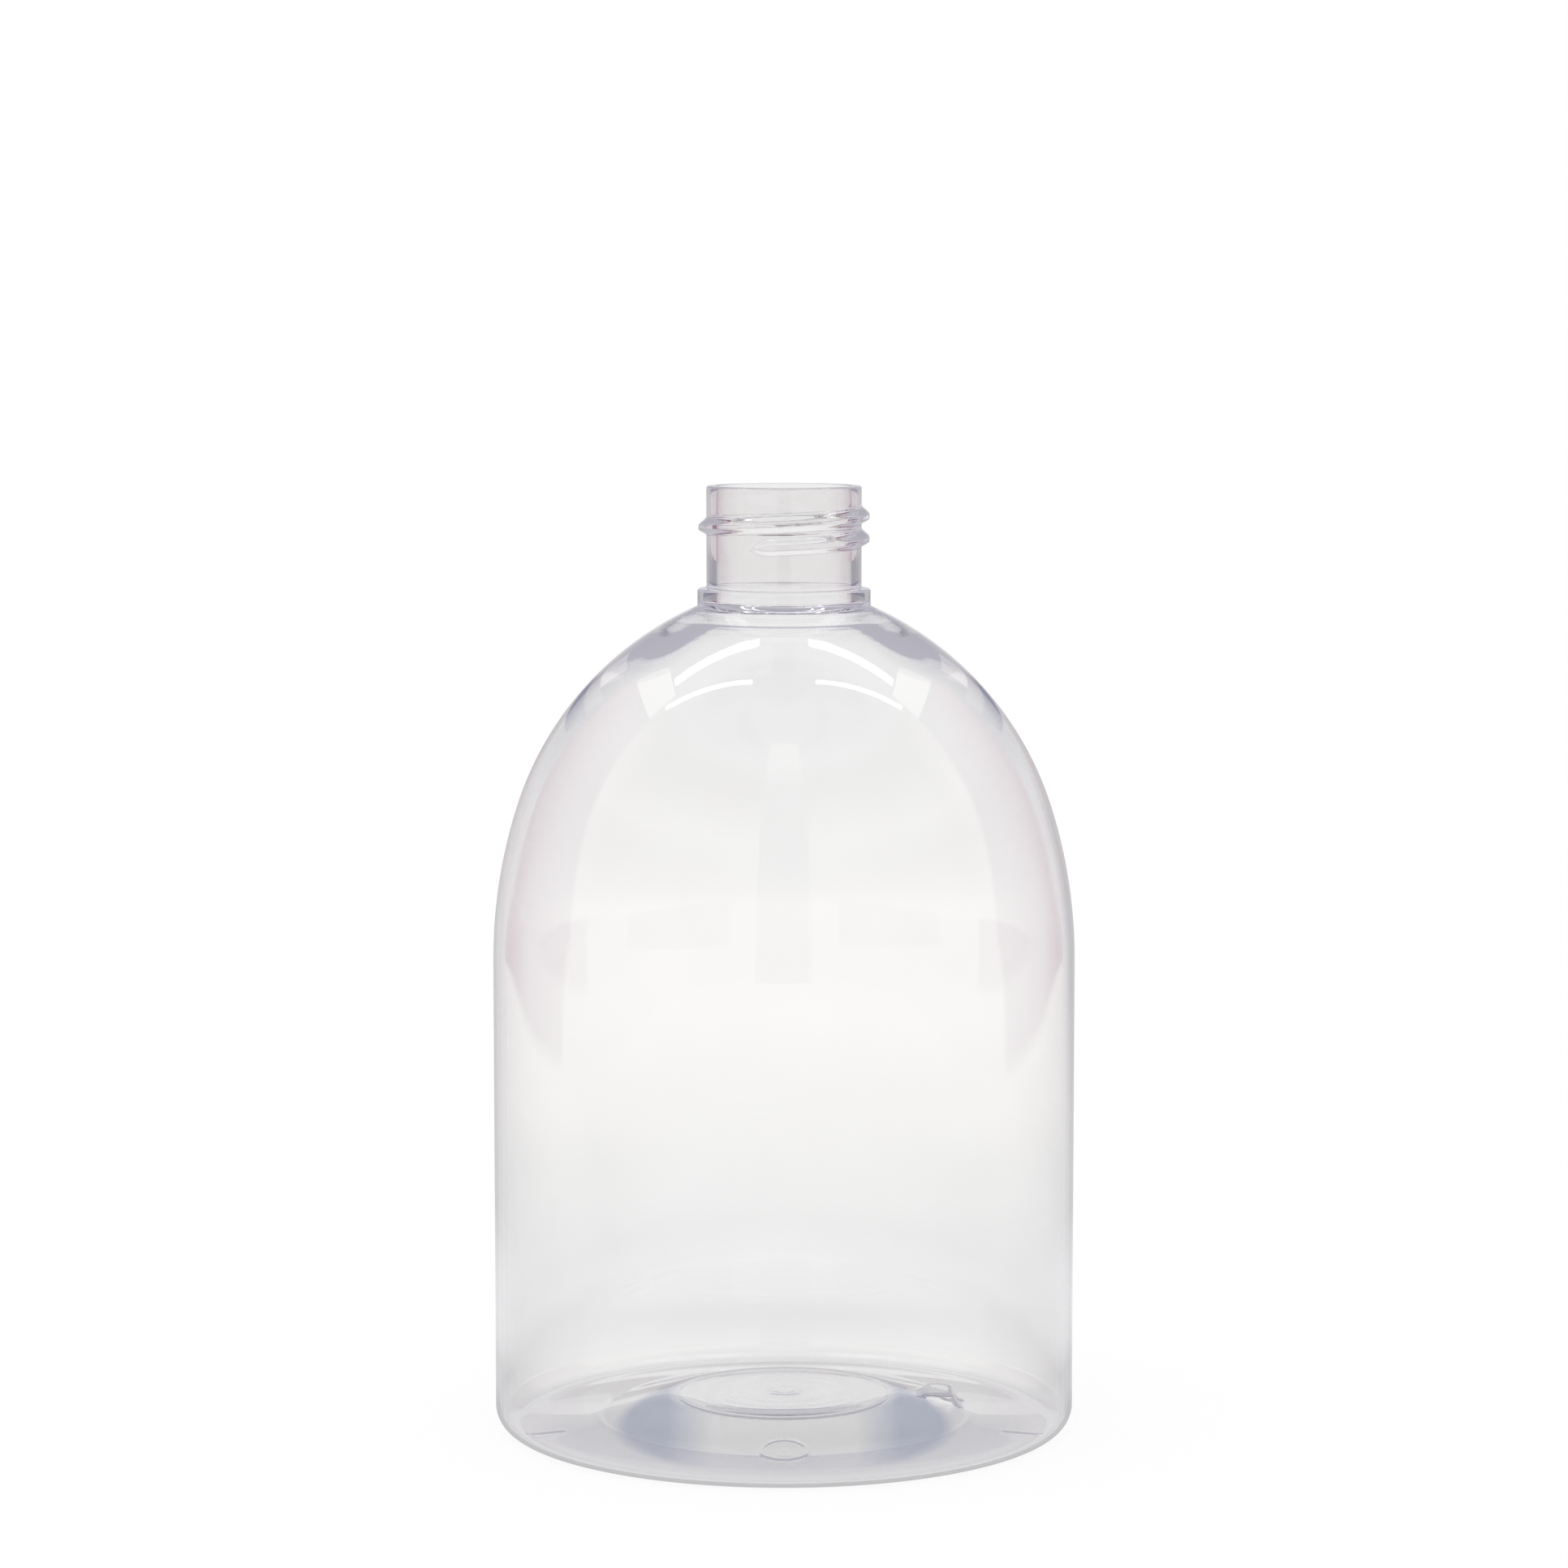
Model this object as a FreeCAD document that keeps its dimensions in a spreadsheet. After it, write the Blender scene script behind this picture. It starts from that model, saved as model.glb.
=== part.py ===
import FreeCAD, Part
import math
import os
import Sketcher

# Clear round bottle, blown in one piece from a moulded blank with its threaded neck.
# Millimetres. The origin is the centre of the standing ring, +Z points out of the mouth,
# and the two mould halves meet in the XZ plane.
#
# The bottle is what is left when the hollow form is taken out of the outer form.
# Both forms are half profiles turned about Z, and the index notch of the base is cut
# into both, so that its wall stays as thick as the wall around it.

SIZES = {
    # Body
    "body_radius": (40.7, "outside of the straight body"),
    "shoulder_start": (66.1, "height where the straight body ends"),
    "lower_shoulder_radius": (70.0, "first arc of the shoulder, tangent to the body"),
    "lower_shoulder_rise": (21.7, "height of that arc"),
    "heel_radius": (3.16, "outside rounding between body and standing ring"),
    "wall": (0.5, "blown wall of body, shoulder and standing ring"),
    # Base, seen from below: standing ring, gentle slope, cone, flat disc, gate mark
    "land_width": (1.2, "flat of the standing ring"),
    "cone_radius": (25.4, "outer edge of the cone"),
    "cone_height": (0.8, "height of that edge above the standing ring"),
    "disc_radius": (14.8, "flat disc at the top of the cone"),
    "disc_height": (3.5, "height of the disc above the standing ring"),
    "cone_wall": (0.8, "wall at the outer edge of the cone"),
    "disc_wall": (1.6, "wall of the disc, which is hardly stretched"),
    "gate_radius": (1.6, "gate mark in the centre of the disc"),
    "gate_depth": (0.5, "how far the gate mark hangs below the disc"),
    # Index notch, a pocket pushed up into the cone
    "notch_inner_radius": (19.8, "nearest to the axis"),
    "notch_outer_radius": (24.2, "farthest from the axis"),
    "notch_face": (0.7, "its flat face, from the parting plane"),
    "notch_straight": (5.0, "length of its straight sides"),
    "notch_height": (3.3, "its roof above the standing ring"),
    # Support ring, where the shoulder ends
    "ring_radius": (12.05, "outside of the support ring"),
    "ring_base": (115.6, "height of its underside"),
    "ring_thickness": (2.35, "its outer edge"),
    "ring_slope": (0.25, "rise of its top face towards the neck"),
    "ring_bevel": (0.3, "bevel of its top edge"),
    # Neck finish
    "neck_radius": (10.78, "outside of the neck, between thread turns"),
    "bore_radius": (9.39, "inside of the neck"),
    "finish_height": (14.1, "from the support ring to the mouth"),
    "rim_bevel": (0.35, "bevel of the mouth's outer edge"),
    "lip_bevel": (0.25, "bevel of the mouth's inner edge"),
    "root_drop": (1.9, "how far the bore runs on below the ring's underside"),
    "root_bevel": (0.8, "bevel where the bore opens out"),
    "root_radius": (19.0, "where the thick root thins out into the blown wall"),
    # Screw thread, one right-hand start
    "thread_pitch": (3.175, "rise of one turn"),
    "thread_turns": (1.3, "full-depth turns"),
    "thread_depth": (1.1, "crest above the neck"),
    "thread_foot_width": (2.6, "across its foot, sunk into the neck"),
    "thread_crest_width": (0.6, "flat of the crest"),
    "thread_lower_flank": (0.75, "height of the steep flank, on the lower side"),
    "thread_drop": (4.17, "from the mouth down to the last full-depth crest"),
    "thread_start_angle": (259.0, "about Z from +X to the first full-depth crest"),
    "thread_run_in": (0.035, "turns in which each end of the thread fades out"),
}

SHEET = "Sizes"
# How far the hollow form runs on past the mouth
OVERSHOOT = 2.0
# How deep the foot of the thread lies in the neck
THREAD_BURY = 0.2
# The shoulder's upper arc is drawn in stretches about one centre, whose facets are fewer than one long face's
UPPER_STRETCHES = 3
# The heel and the inside of the shoulder follow their arcs in straight chords, which keeps the facets few
HEEL_CHORDS = 3
LOWER_SHOULDER_CHORDS = 2
UPPER_SHOULDER_CHORDS = 5


class Size:
    """A length with its value now and the expression that gives it from the sheet."""

    def __init__(self, value, text):
        self.value = value
        self.text = text

    def __add__(self, other):
        other = as_size(other)
        return Size(self.value + other.value, f"({self.text} + {other.text})")

    def __sub__(self, other):
        other = as_size(other)
        return Size(self.value - other.value, f"({self.text} - {other.text})")

    def __mul__(self, other):
        other = as_size(other)
        return Size(self.value * other.value, f"({self.text} * {other.text})")

    def __truediv__(self, other):
        other = as_size(other)
        return Size(self.value / other.value, f"({self.text} / {other.text})")


def as_size(number):
    """Return a plain number as a size, and a size as it is."""
    if isinstance(number, Size):
        return number
    return Size(float(number), repr(float(number)))


def size(name):
    """Return the named size of the sheet."""
    return Size(SIZES[name][0], f"{SHEET}.{name}")


def near(number):
    """Return a start value for the solver, which binds nothing."""
    return Size(number, "")


class Outline:
    """A closed chain of lines and arcs in a sketch, drawn anticlockwise.

    Each corner is given as two sizes, which are bound to the sheet. A corner's coordinate
    of 0 puts it on the axis of the sketch, and one made by near() stays free.
    """

    def __init__(self, sketch, x, y):
        self.sketch = sketch
        self.corner = (as_size(x), as_size(y))
        self.first = self.corner
        self.edges = []

    def line_to(self, x, y, smooth=False):
        """Add a line to the corner, tangent to the edge before it if it is smooth."""
        start = self.corner
        end = (as_size(x), as_size(y))
        edge = self.sketch.addGeometry(Part.LineSegment(point(start), point(end)), False)
        self.add(edge, end, smooth)
        return edge

    def arc_to(self, x, y, centre, radius=None, smooth=True):
        """Add an arc to the corner about a centre near the one given."""
        start = self.corner
        end = (as_size(x), as_size(y))
        angles = [math.atan2(c[1].value - centre[1], c[0].value - centre[0]) for c in (start, end)]
        reach = math.hypot(start[0].value - centre[0], start[1].value - centre[1])
        circle = Part.Circle(FreeCAD.Vector(centre[0], centre[1], 0), FreeCAD.Vector(0, 0, 1), reach)
        edge = self.sketch.addGeometry(Part.ArcOfCircle(circle, angles[0], angles[1]), False)
        self.add(edge, end, smooth)
        if radius is not None:
            self.bind("Radius", (edge,), radius)
        return edge

    def chords_along(self, arc, count):
        """Follow a guide arc from its start to its end in straight chords of one length."""
        guide = self.sketch.Geometry[arc]
        chords = []
        for step in range(1, count + 1):
            angle = guide.FirstParameter + (guide.LastParameter - guide.FirstParameter) * step / count
            x = guide.Center.x + guide.Radius * math.cos(angle)
            y = guide.Center.y + guide.Radius * math.sin(angle)
            chords.append(self.line_to(near(x), near(y)))
            if step > 1:
                self.sketch.addConstraint(Sketcher.Constraint("Equal", chords[0], chords[-1]))
            if step < count:
                self.sketch.addConstraint(Sketcher.Constraint("PointOnObject", chords[-1], 2, arc))
        self.sketch.addConstraint(Sketcher.Constraint("Coincident", chords[-1], 2, arc, 2))

    def add(self, edge, end, smooth):
        """Join the new edge to the one before it and bind its far corner."""
        if self.edges:
            kind = "Tangent" if smooth else "Coincident"
            self.sketch.addConstraint(Sketcher.Constraint(kind, self.edges[-1], 2, edge, 1))
        else:
            self.place((edge, 1), self.first)
        self.edges.append(edge)
        self.corner = end
        self.place((edge, 2), end)

    def place(self, vertex, corner):
        """Bind a corner's two coordinates.

        A sketch counts its vertical axis as -2 and its horizontal axis as -1, which starts at the origin.
        """
        for kind, axis, length in (("DistanceX", -2, corner[0]), ("DistanceY", -1, corner[1])):
            if not length.text:
                continue
            if length.value == 0.0:
                self.sketch.addConstraint(Sketcher.Constraint("PointOnObject", *vertex, axis))
            else:
                self.bind(kind, (-1, 1, *vertex), length)

    def bind(self, kind, where, length):
        """Add a dimension and bind it to the sheet."""
        index = self.sketch.addConstraint(Sketcher.Constraint(kind, *where, length.value))
        self.sketch.setExpression(f"Constraints[{index}]", length.text)

    def close(self):
        """Add the line back to the first corner."""
        start = point(self.corner)
        edge = self.sketch.addGeometry(Part.LineSegment(start, point(self.first)), False)
        for join in ((self.edges[-1], 2, edge, 1), (edge, 2, self.edges[0], 1)):
            self.sketch.addConstraint(Sketcher.Constraint("Coincident", *join))


def point(corner):
    """Return a corner as a point of the sketch's plane."""
    return FreeCAD.Vector(corner[0].value, corner[1].value, 0)


def make_sheet(doc):
    """Write the driving sizes to a sheet, each with its own alias."""
    sheet = doc.addObject("Spreadsheet::Sheet", SHEET)
    for row, (name, (value, meaning)) in enumerate(SIZES.items(), start=1):
        sheet.set(f"A{row}", name)
        sheet.set(f"B{row}", str(value))
        sheet.setAlias(f"B{row}", name)
        sheet.set(f"C{row}", meaning)
    doc.recompute()


def new_sketch(body, name, role="XZ_Plane"):
    """Add a sketch on one of the body's own origin planes."""
    sketch = body.newObject("Sketcher::SketchObject", name)
    plane = next(item for item in body.Origin.OriginFeatures if item.Role == role)
    sketch.AttachmentSupport = [(plane, "")]
    sketch.MapMode = "FlatFace"
    return sketch


def turn(body, name, profile):
    """Turn a half profile once about Z."""
    feature = body.newObject("PartDesign::Revolution", name)
    feature.Profile = profile
    feature.ReferenceAxis = (profile, ["V_Axis"])
    feature.Angle = 360
    feature.Refine = False


def mouth_height():
    """Return the height of the mouth."""
    return size("ring_base") + size("ring_thickness") + size("ring_slope") + size("finish_height")


def lower_arc():
    """Return the shoulder's lower arc as it is now: its centre, radius and last angle."""
    radius = size("lower_shoulder_radius").value
    centre = (size("body_radius").value - radius, size("shoulder_start").value)
    return centre, radius, math.asin(size("lower_shoulder_rise").value / radius)


def upper_arc():
    """Return the centre and radius, now, of the arc that goes on to the support ring.

    It leaves the lower arc as a tangent, so its centre lies on the lower arc's last radius,
    as far from there as from the ring's edge.
    """
    centre, radius, angle = lower_arc()
    outward = (math.cos(angle), math.sin(angle))
    start = (centre[0] + radius * outward[0], centre[1] + radius * outward[1])
    step = (size("ring_radius").value - start[0], size("ring_base").value - start[1])
    reach = -(step[0] ** 2 + step[1] ** 2) / (2.0 * (step[0] * outward[0] + step[1] * outward[1]))
    return (start[0] - reach * outward[0], start[1] - reach * outward[1]), reach


def arc_radius_at(centre, reach, height):
    """Return the radius, now, that an arc of a half profile has at a height."""
    return centre[0] + math.sqrt(reach**2 - (height - centre[1]) ** 2)


def draw_shoulder(outline, stretches):
    """Draw the shoulder's two arcs, the upper one in stretches about one centre.

    Returns the lower arc and the stretches.
    """
    centre, reach, _ = lower_arc()
    upper_start = size("shoulder_start") + size("lower_shoulder_rise")
    joint = near(arc_radius_at(centre, reach, upper_start.value))
    edges = [outline.arc_to(joint, upper_start, centre, radius=size("lower_shoulder_radius"))]

    centre, reach = upper_arc()
    rise = (size("ring_base") - upper_start) / stretches
    for step in range(1, stretches):
        height = upper_start + rise * step
        joint = near(arc_radius_at(centre, reach, height.value))
        edges.append(outline.arc_to(joint, height, centre, smooth=step == 1))
    edges.append(outline.arc_to(size("ring_radius"), size("ring_base"), centre, smooth=stretches == 1))
    for edge in edges[2:]:
        outline.sketch.addConstraint(Sketcher.Constraint("Coincident", edges[1], 3, edge, 3))
    return edges


def draw_heel_guide(sketch, inset):
    """Draw the heel's quarter arc as a guide, inset from the outside."""
    body_radius = size("body_radius")
    heel = size("heel_radius")
    centre = ((body_radius - heel).value, heel.value)
    guide = Outline(sketch, body_radius - heel, inset).arc_to(body_radius - inset, heel, centre)
    # Its centre lies above its start, which makes it tangent to the standing ring and to the body
    sketch.addConstraint(Sketcher.Constraint("Vertical", guide, 1, guide, 3))
    sketch.setConstruction(guide, True)
    return guide


def draw_outer_profile(sketch):
    """Draw the outer form: base, heel, body, shoulder, support ring and neck."""
    heel_guide = draw_heel_guide(sketch, 0)
    body_radius = size("body_radius")
    heel = size("heel_radius")
    ring_radius = size("ring_radius")
    ring_top = size("ring_base") + size("ring_thickness")
    ring_bevel = size("ring_bevel")
    neck = size("neck_radius")
    rim_bevel = size("rim_bevel")
    mouth = mouth_height()
    gate_face = size("disc_height") - size("gate_depth")

    outline = Outline(sketch, 0, gate_face)
    outline.line_to(size("gate_radius"), gate_face)
    outline.line_to(size("gate_radius"), size("disc_height"))
    outline.line_to(size("disc_radius"), size("disc_height"))
    outline.line_to(size("cone_radius"), size("cone_height"))
    outline.line_to(body_radius - heel - size("land_width"), 0)
    outline.line_to(body_radius - heel, 0)
    outline.chords_along(heel_guide, HEEL_CHORDS)
    outline.line_to(body_radius, size("shoulder_start"))
    draw_shoulder(outline, UPPER_STRETCHES)
    outline.line_to(ring_radius, ring_top - ring_bevel)
    outline.line_to(ring_radius - ring_bevel, ring_top)
    outline.line_to(neck, ring_top + size("ring_slope"))
    outline.line_to(neck, mouth - rim_bevel)
    outline.line_to(neck - rim_bevel, mouth)
    outline.line_to(0, mouth)
    outline.close()


def draw_shoulder_guides(sketch):
    """Draw the inside of the shoulder as two guide arcs.

    They share their centres with the outer form's arcs, which are drawn here as guides too.
    """
    wall = size("wall")
    body_radius = size("body_radius")
    shoulder = size("shoulder_start")

    # The lower arc's centre lies level with its start, which makes it tangent to the body
    outer_lower, outer_upper = draw_shoulder(Outline(sketch, body_radius, shoulder), 1)
    sketch.addConstraint(Sketcher.Constraint("Horizontal", outer_lower, 3, outer_lower, 1))

    inner = Outline(sketch, body_radius - wall, shoulder)
    centre, reach, angle = lower_arc()
    inner_reach = reach - wall.value
    joint = (centre[0] + inner_reach * math.cos(angle), centre[1] + inner_reach * math.sin(angle))
    inner_lower = inner.arc_to(near(joint[0]), near(joint[1]), centre)
    centre, reach = upper_arc()
    root = size("root_radius")
    root_height = centre[1] + math.sqrt((reach - wall.value) ** 2 - (root.value - centre[0]) ** 2)
    inner_upper = inner.arc_to(root, near(root_height), centre)
    for outer_edge, inner_edge in ((outer_lower, inner_lower), (outer_upper, inner_upper)):
        sketch.addConstraint(Sketcher.Constraint("Coincident", outer_edge, 3, inner_edge, 3))

    for edge in (outer_lower, outer_upper, inner_lower, inner_upper):
        sketch.setConstruction(edge, True)
    return inner_lower, inner_upper


def draw_hollow_profile(sketch):
    """Draw the hollow form: the outer form less its wall, and the bore of the neck."""
    wall = size("wall")
    body_radius = size("body_radius")
    heel = size("heel_radius")
    bore = size("bore_radius")
    lip = size("lip_bevel")
    root = size("root_bevel")
    mouth = mouth_height()
    floor = size("disc_height") + size("disc_wall")
    bore_end = size("ring_base") - size("root_drop")

    heel_guide = draw_heel_guide(sketch, wall)
    lower_guide, upper_guide = draw_shoulder_guides(sketch)
    outline = Outline(sketch, 0, floor)
    outline.line_to(size("disc_radius"), floor)
    outline.line_to(size("cone_radius"), size("cone_height") + size("cone_wall"))
    outline.line_to(body_radius - heel - size("land_width"), wall)
    outline.line_to(body_radius - heel, wall)
    outline.chords_along(heel_guide, HEEL_CHORDS)
    outline.line_to(body_radius - wall, size("shoulder_start"))
    outline.chords_along(lower_guide, LOWER_SHOULDER_CHORDS)
    outline.chords_along(upper_guide, UPPER_SHOULDER_CHORDS)
    outline.line_to(bore + root, bore_end)
    outline.line_to(bore, bore_end + root)
    outline.line_to(bore, mouth - lip)
    outline.line_to(bore + lip, mouth)
    outline.line_to(bore + lip, mouth + OVERSHOOT)
    outline.line_to(0, mouth + OVERSHOOT)
    outline.close()


def draw_notch(sketch, margin):
    """Draw the index notch from above, larger all round by a margin: a flat face and a round end."""
    inner = size("notch_inner_radius") - margin
    outer = size("notch_outer_radius") + margin
    face = size("notch_face") - margin
    end = size("notch_face") + size("notch_straight")
    middle = ((inner.value + outer.value) / 2.0, end.value)

    outline = Outline(sketch, inner, face)
    outline.line_to(outer, face)
    outline.line_to(outer, end)
    outline.arc_to(inner, end, middle)
    outline.close()


def cut_notch(body, name, margin):
    """Cut the index notch into a form, upwards from the standing plane."""
    before = body.Shape.Volume
    sketch = new_sketch(body, f"{name}_outline", "XY_Plane")
    draw_notch(sketch, margin)
    pocket = body.newObject("PartDesign::Pocket", name)
    pocket.Profile = sketch
    pocket.Reversed = True
    pocket.Refine = False
    pocket.setExpression("Length", (size("notch_height") + margin).text)
    body.Document.recompute()
    if body.Shape.Volume >= before:
        raise RuntimeError(f"{name} cuts nothing")


def add_thread_run(body, name, turns_before, turns, fade=0.0, backwards=False):
    """Add a stretch of the thread, which leaves the given number of turns after its first full crest.

    The profile sinks into the neck by the fade in each turn. A backwards run winds down.
    """
    pitch = size("thread_pitch")
    crest = size("neck_radius") + size("thread_depth")
    foot = size("neck_radius") - THREAD_BURY
    first_crest = mouth_height() - size("thread_drop") - size("thread_turns") * pitch
    low_edge = first_crest + turns_before * pitch - size("thread_crest_width") * 0.5
    high_edge = low_edge + size("thread_crest_width")
    low_foot = low_edge - size("thread_lower_flank")

    sketch = new_sketch(body, f"{name}_profile")
    angle = size("thread_start_angle") + turns_before * 360.0
    sketch.AttachmentOffset = FreeCAD.Placement(
        FreeCAD.Vector(0, 0, 0), FreeCAD.Rotation(FreeCAD.Vector(0, 1, 0), angle.value)
    )
    sketch.setExpression("AttachmentOffset.Rotation.Angle", angle.text)
    outline = Outline(sketch, foot, low_foot)
    outline.line_to(crest, low_edge)
    outline.line_to(crest, high_edge)
    outline.line_to(foot, low_foot + size("thread_foot_width"))
    outline.close()

    helix = body.newObject("PartDesign::AdditiveHelix", name)
    helix.Profile = sketch
    helix.ReferenceAxis = (sketch, ["V_Axis"])
    helix.Mode = "height-turns-growth"
    helix.Reversed = backwards
    helix.Refine = False
    helix.setExpression("Height", (turns * pitch).text)
    helix.setExpression("Turns", turns.text)
    helix.setExpression("Growth", (as_size(0) - fade).text)
    body.Document.recompute()


def make_outer_form(doc):
    """Make the bottle's outside as a solid form, with its thread and the notch of its base."""
    body = doc.addObject("PartDesign::Body", "outer_form")
    sketch = new_sketch(body, "outer_profile")
    draw_outer_profile(sketch)
    turn(body, "outer_turned", sketch)
    doc.recompute()
    cut_notch(body, "index_notch", as_size(0))

    turns = size("thread_turns")
    run_in = size("thread_run_in")
    fade = (size("thread_depth") + THREAD_BURY) / run_in
    add_thread_run(body, "thread", as_size(0), turns)
    add_thread_run(body, "thread_start", as_size(0), run_in, fade, backwards=True)
    add_thread_run(body, "thread_end", turns, run_in, fade)
    return body


def make_hollow_form(doc):
    """Make the bottle's inside as a solid form, with the roof of the notch taken out of it."""
    body = doc.addObject("PartDesign::Body", "hollow_form")
    sketch = new_sketch(body, "hollow_profile")
    draw_hollow_profile(sketch)
    turn(body, "hollow_turned", sketch)
    doc.recompute()
    cut_notch(body, "notch_roof", size("wall"))
    return body


def make_bottle(doc):
    """Take the hollow form out of the outer form."""
    bottle = doc.addObject("Part::Cut", "bottle")
    bottle.Label = "bottle"
    bottle.Base = make_outer_form(doc)
    bottle.Tool = make_hollow_form(doc)
    doc.recompute()
    return bottle


def check(doc, parts):
    """Stop if an object failed or a part has no valid single solid."""
    for item in doc.Objects:
        for state in ("Invalid", "Error"):
            if state in item.State:
                raise RuntimeError(f"{item.Name} is {state}")
    for part in parts:
        if part.Shape.isNull() or not part.Shape.isValid():
            raise RuntimeError(f"{part.Label} has no valid shape")
        if len(part.Shape.Solids) != 1:
            raise RuntimeError(f"{part.Label} is not one solid")


def main():
    doc = FreeCAD.newDocument("bottle_document")
    make_sheet(doc)
    parts = [make_bottle(doc)]
    check(doc, parts)
    os.makedirs("parts", exist_ok=True)
    for part in parts:
        part.Shape.exportStep(f"parts/{part.Label}.step")
        box = part.Shape.BoundBox
        print(part.Label, "volume", round(part.Shape.Volume, 1), "box", box)


main()
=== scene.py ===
import logging
import math
from dataclasses import dataclass, field
from enum import Enum

import bpy
import numpy as np
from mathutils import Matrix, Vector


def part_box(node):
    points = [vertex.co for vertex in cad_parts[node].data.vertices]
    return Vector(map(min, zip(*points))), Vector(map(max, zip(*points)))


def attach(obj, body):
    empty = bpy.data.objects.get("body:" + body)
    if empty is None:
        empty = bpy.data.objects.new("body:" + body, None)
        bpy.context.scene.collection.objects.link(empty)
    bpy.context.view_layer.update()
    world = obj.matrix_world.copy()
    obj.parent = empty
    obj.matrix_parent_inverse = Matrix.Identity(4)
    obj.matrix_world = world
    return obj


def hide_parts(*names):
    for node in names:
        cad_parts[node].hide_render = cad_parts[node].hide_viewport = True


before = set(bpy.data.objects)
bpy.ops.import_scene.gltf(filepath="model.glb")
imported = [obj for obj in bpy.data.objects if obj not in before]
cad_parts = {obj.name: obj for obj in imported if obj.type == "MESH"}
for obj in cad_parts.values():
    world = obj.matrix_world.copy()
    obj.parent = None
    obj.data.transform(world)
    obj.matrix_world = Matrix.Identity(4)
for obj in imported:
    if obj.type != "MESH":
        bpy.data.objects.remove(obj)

# Clear round bottle, blown in one piece from a moulded blank with its threaded neck.
# Metres. The origin is the centre of the standing ring, +Z points out of the mouth, the
# mould halves meet in the XZ plane, and the photographer stands on the -Y side.

MM = 0.001
IMAGE_WIDTH = 1932
SENSOR_WIDTH = 36.0
LINE_SAMPLES = 20001
AVERAGE_SAMPLES = 33
NEARLY_ZERO = 0.001

logging.basicConfig(level=logging.INFO, format="%(message)s")
log = logging.getLogger("clear_bottle")

Colour = tuple[float, float, float]
WHITE: Colour = (1.0, 1.0, 1.0)
BLACK: Colour = (0.0, 0.0, 0.0)


class Side(Enum):
    """The two sides of the studio, as the sign of X."""

    LEFT = -1
    RIGHT = 1


@dataclass(frozen=True)
class Crowd:
    """A place on a line where steps stand closer together."""

    centre: float
    half_width: float
    times: float


@dataclass(frozen=True)
class BottleSizes:
    """Sizes of the bottle in metres. The body's radius and the height come from its solid."""

    body_radius: float
    height: float
    # Shoulder
    shoulder_start: float = 66.1 * MM
    lower_shoulder_radius: float = 70.0 * MM
    lower_shoulder_rise: float = 21.7 * MM
    # Heel and base
    heel_radius: float = 3.16 * MM
    wall: float = 0.5 * MM
    land_width: float = 1.2 * MM
    cone_radius: float = 25.4 * MM
    cone_height: float = 0.8 * MM
    disc_radius: float = 14.8 * MM
    disc_height: float = 3.5 * MM
    cone_wall: float = 1.05 * MM
    disc_wall: float = 1.15 * MM
    gate_radius: float = 1.6 * MM
    gate_depth: float = 0.15 * MM
    disc_rounding: float = 2.4 * MM
    cone_rounding: float = 0.9 * MM
    gate_rounding: float = 0.6 * MM
    # Support ring and neck
    finish_height: float = 14.1 * MM
    ring_radius: float = 12.05 * MM
    ring_thickness: float = 2.35 * MM
    ring_slope: float = 0.25 * MM
    ring_rounding: float = 0.3 * MM
    neck_radius: float = 10.78 * MM
    bore_radius: float = 9.39 * MM
    rim_rounding: float = 0.35 * MM
    lip_rounding: float = 0.25 * MM
    throat_rounding: float = 0.9 * MM
    # The thick root, by angles about the centre of the shoulder's upper arc
    root_swell: float = 0.2 * MM
    swell_start: float = math.radians(57.5)
    root_full: float = math.radians(62.5)
    root_sag: float = 0.75 * MM
    sag_start: float = math.radians(45.5)
    sag_full: float = math.radians(61.0)
    sag_return: float = 0.5 * MM
    return_start: float = math.radians(58.5)
    return_full: float = math.radians(66.0)
    root_ring: float = 15.3 * MM
    ring_lift: float = 0.045 * MM
    ring_width: float = 0.45 * MM

    @classmethod
    def of_node(cls, node: str) -> "BottleSizes":
        """Read the body's radius and the bottle's height from a solid.

        Args:
            node: Name of the solid.

        Returns:
            The sizes of the bottle.
        """
        low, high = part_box(node)
        return cls(body_radius=(high[0] - low[0]) / 2, height=high[2] - low[2])

    @property
    def ring_base(self) -> float:
        """Height of the support ring's underside."""
        return self.height - self.finish_height - self.ring_slope - self.ring_thickness

    @property
    def land_outer(self) -> float:
        """Outer radius of the standing ring, where the heel starts."""
        return self.body_radius - self.heel_radius

    @property
    def land_inner(self) -> float:
        """Inner radius of the standing ring."""
        return self.land_outer - self.land_width

    @property
    def lower_centre(self) -> tuple[float, float]:
        """Centre of the shoulder's lower arc, level with the arc's start."""
        return self.body_radius - self.lower_shoulder_radius, self.shoulder_start

    @property
    def lower_angle(self) -> float:
        """Angle that the lower arc turns through."""
        return math.asin(self.lower_shoulder_rise / self.lower_shoulder_radius)

    @property
    def upper_arc(self) -> tuple[tuple[float, float], float]:
        """Centre and radius of the arc that goes on, as a tangent, to the support ring.

        The centre lies on the lower arc's last radius, as far from there as from the ring's edge.
        """
        outward = (math.cos(self.lower_angle), math.sin(self.lower_angle))
        start_x = self.lower_centre[0] + self.lower_shoulder_radius * outward[0]
        start_z = self.lower_centre[1] + self.lower_shoulder_radius * outward[1]
        step = (self.ring_radius - start_x, self.ring_base - start_z)
        reach = -(step[0] ** 2 + step[1] ** 2) / (2 * (step[0] * outward[0] + step[1] * outward[1]))
        return (start_x - reach * outward[0], start_z - reach * outward[1]), reach


def smooth_step(value: np.ndarray) -> np.ndarray:
    """Rise softly from 0 at 0 to 1 at 1: three times the square less twice the cube.

    Args:
        value: Any numbers.

    Returns:
        Numbers from 0 to 1.
    """
    clipped = np.clip(value, 0.0, 1.0)
    return clipped * clipped * (3.0 - 2.0 * clipped)


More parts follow.
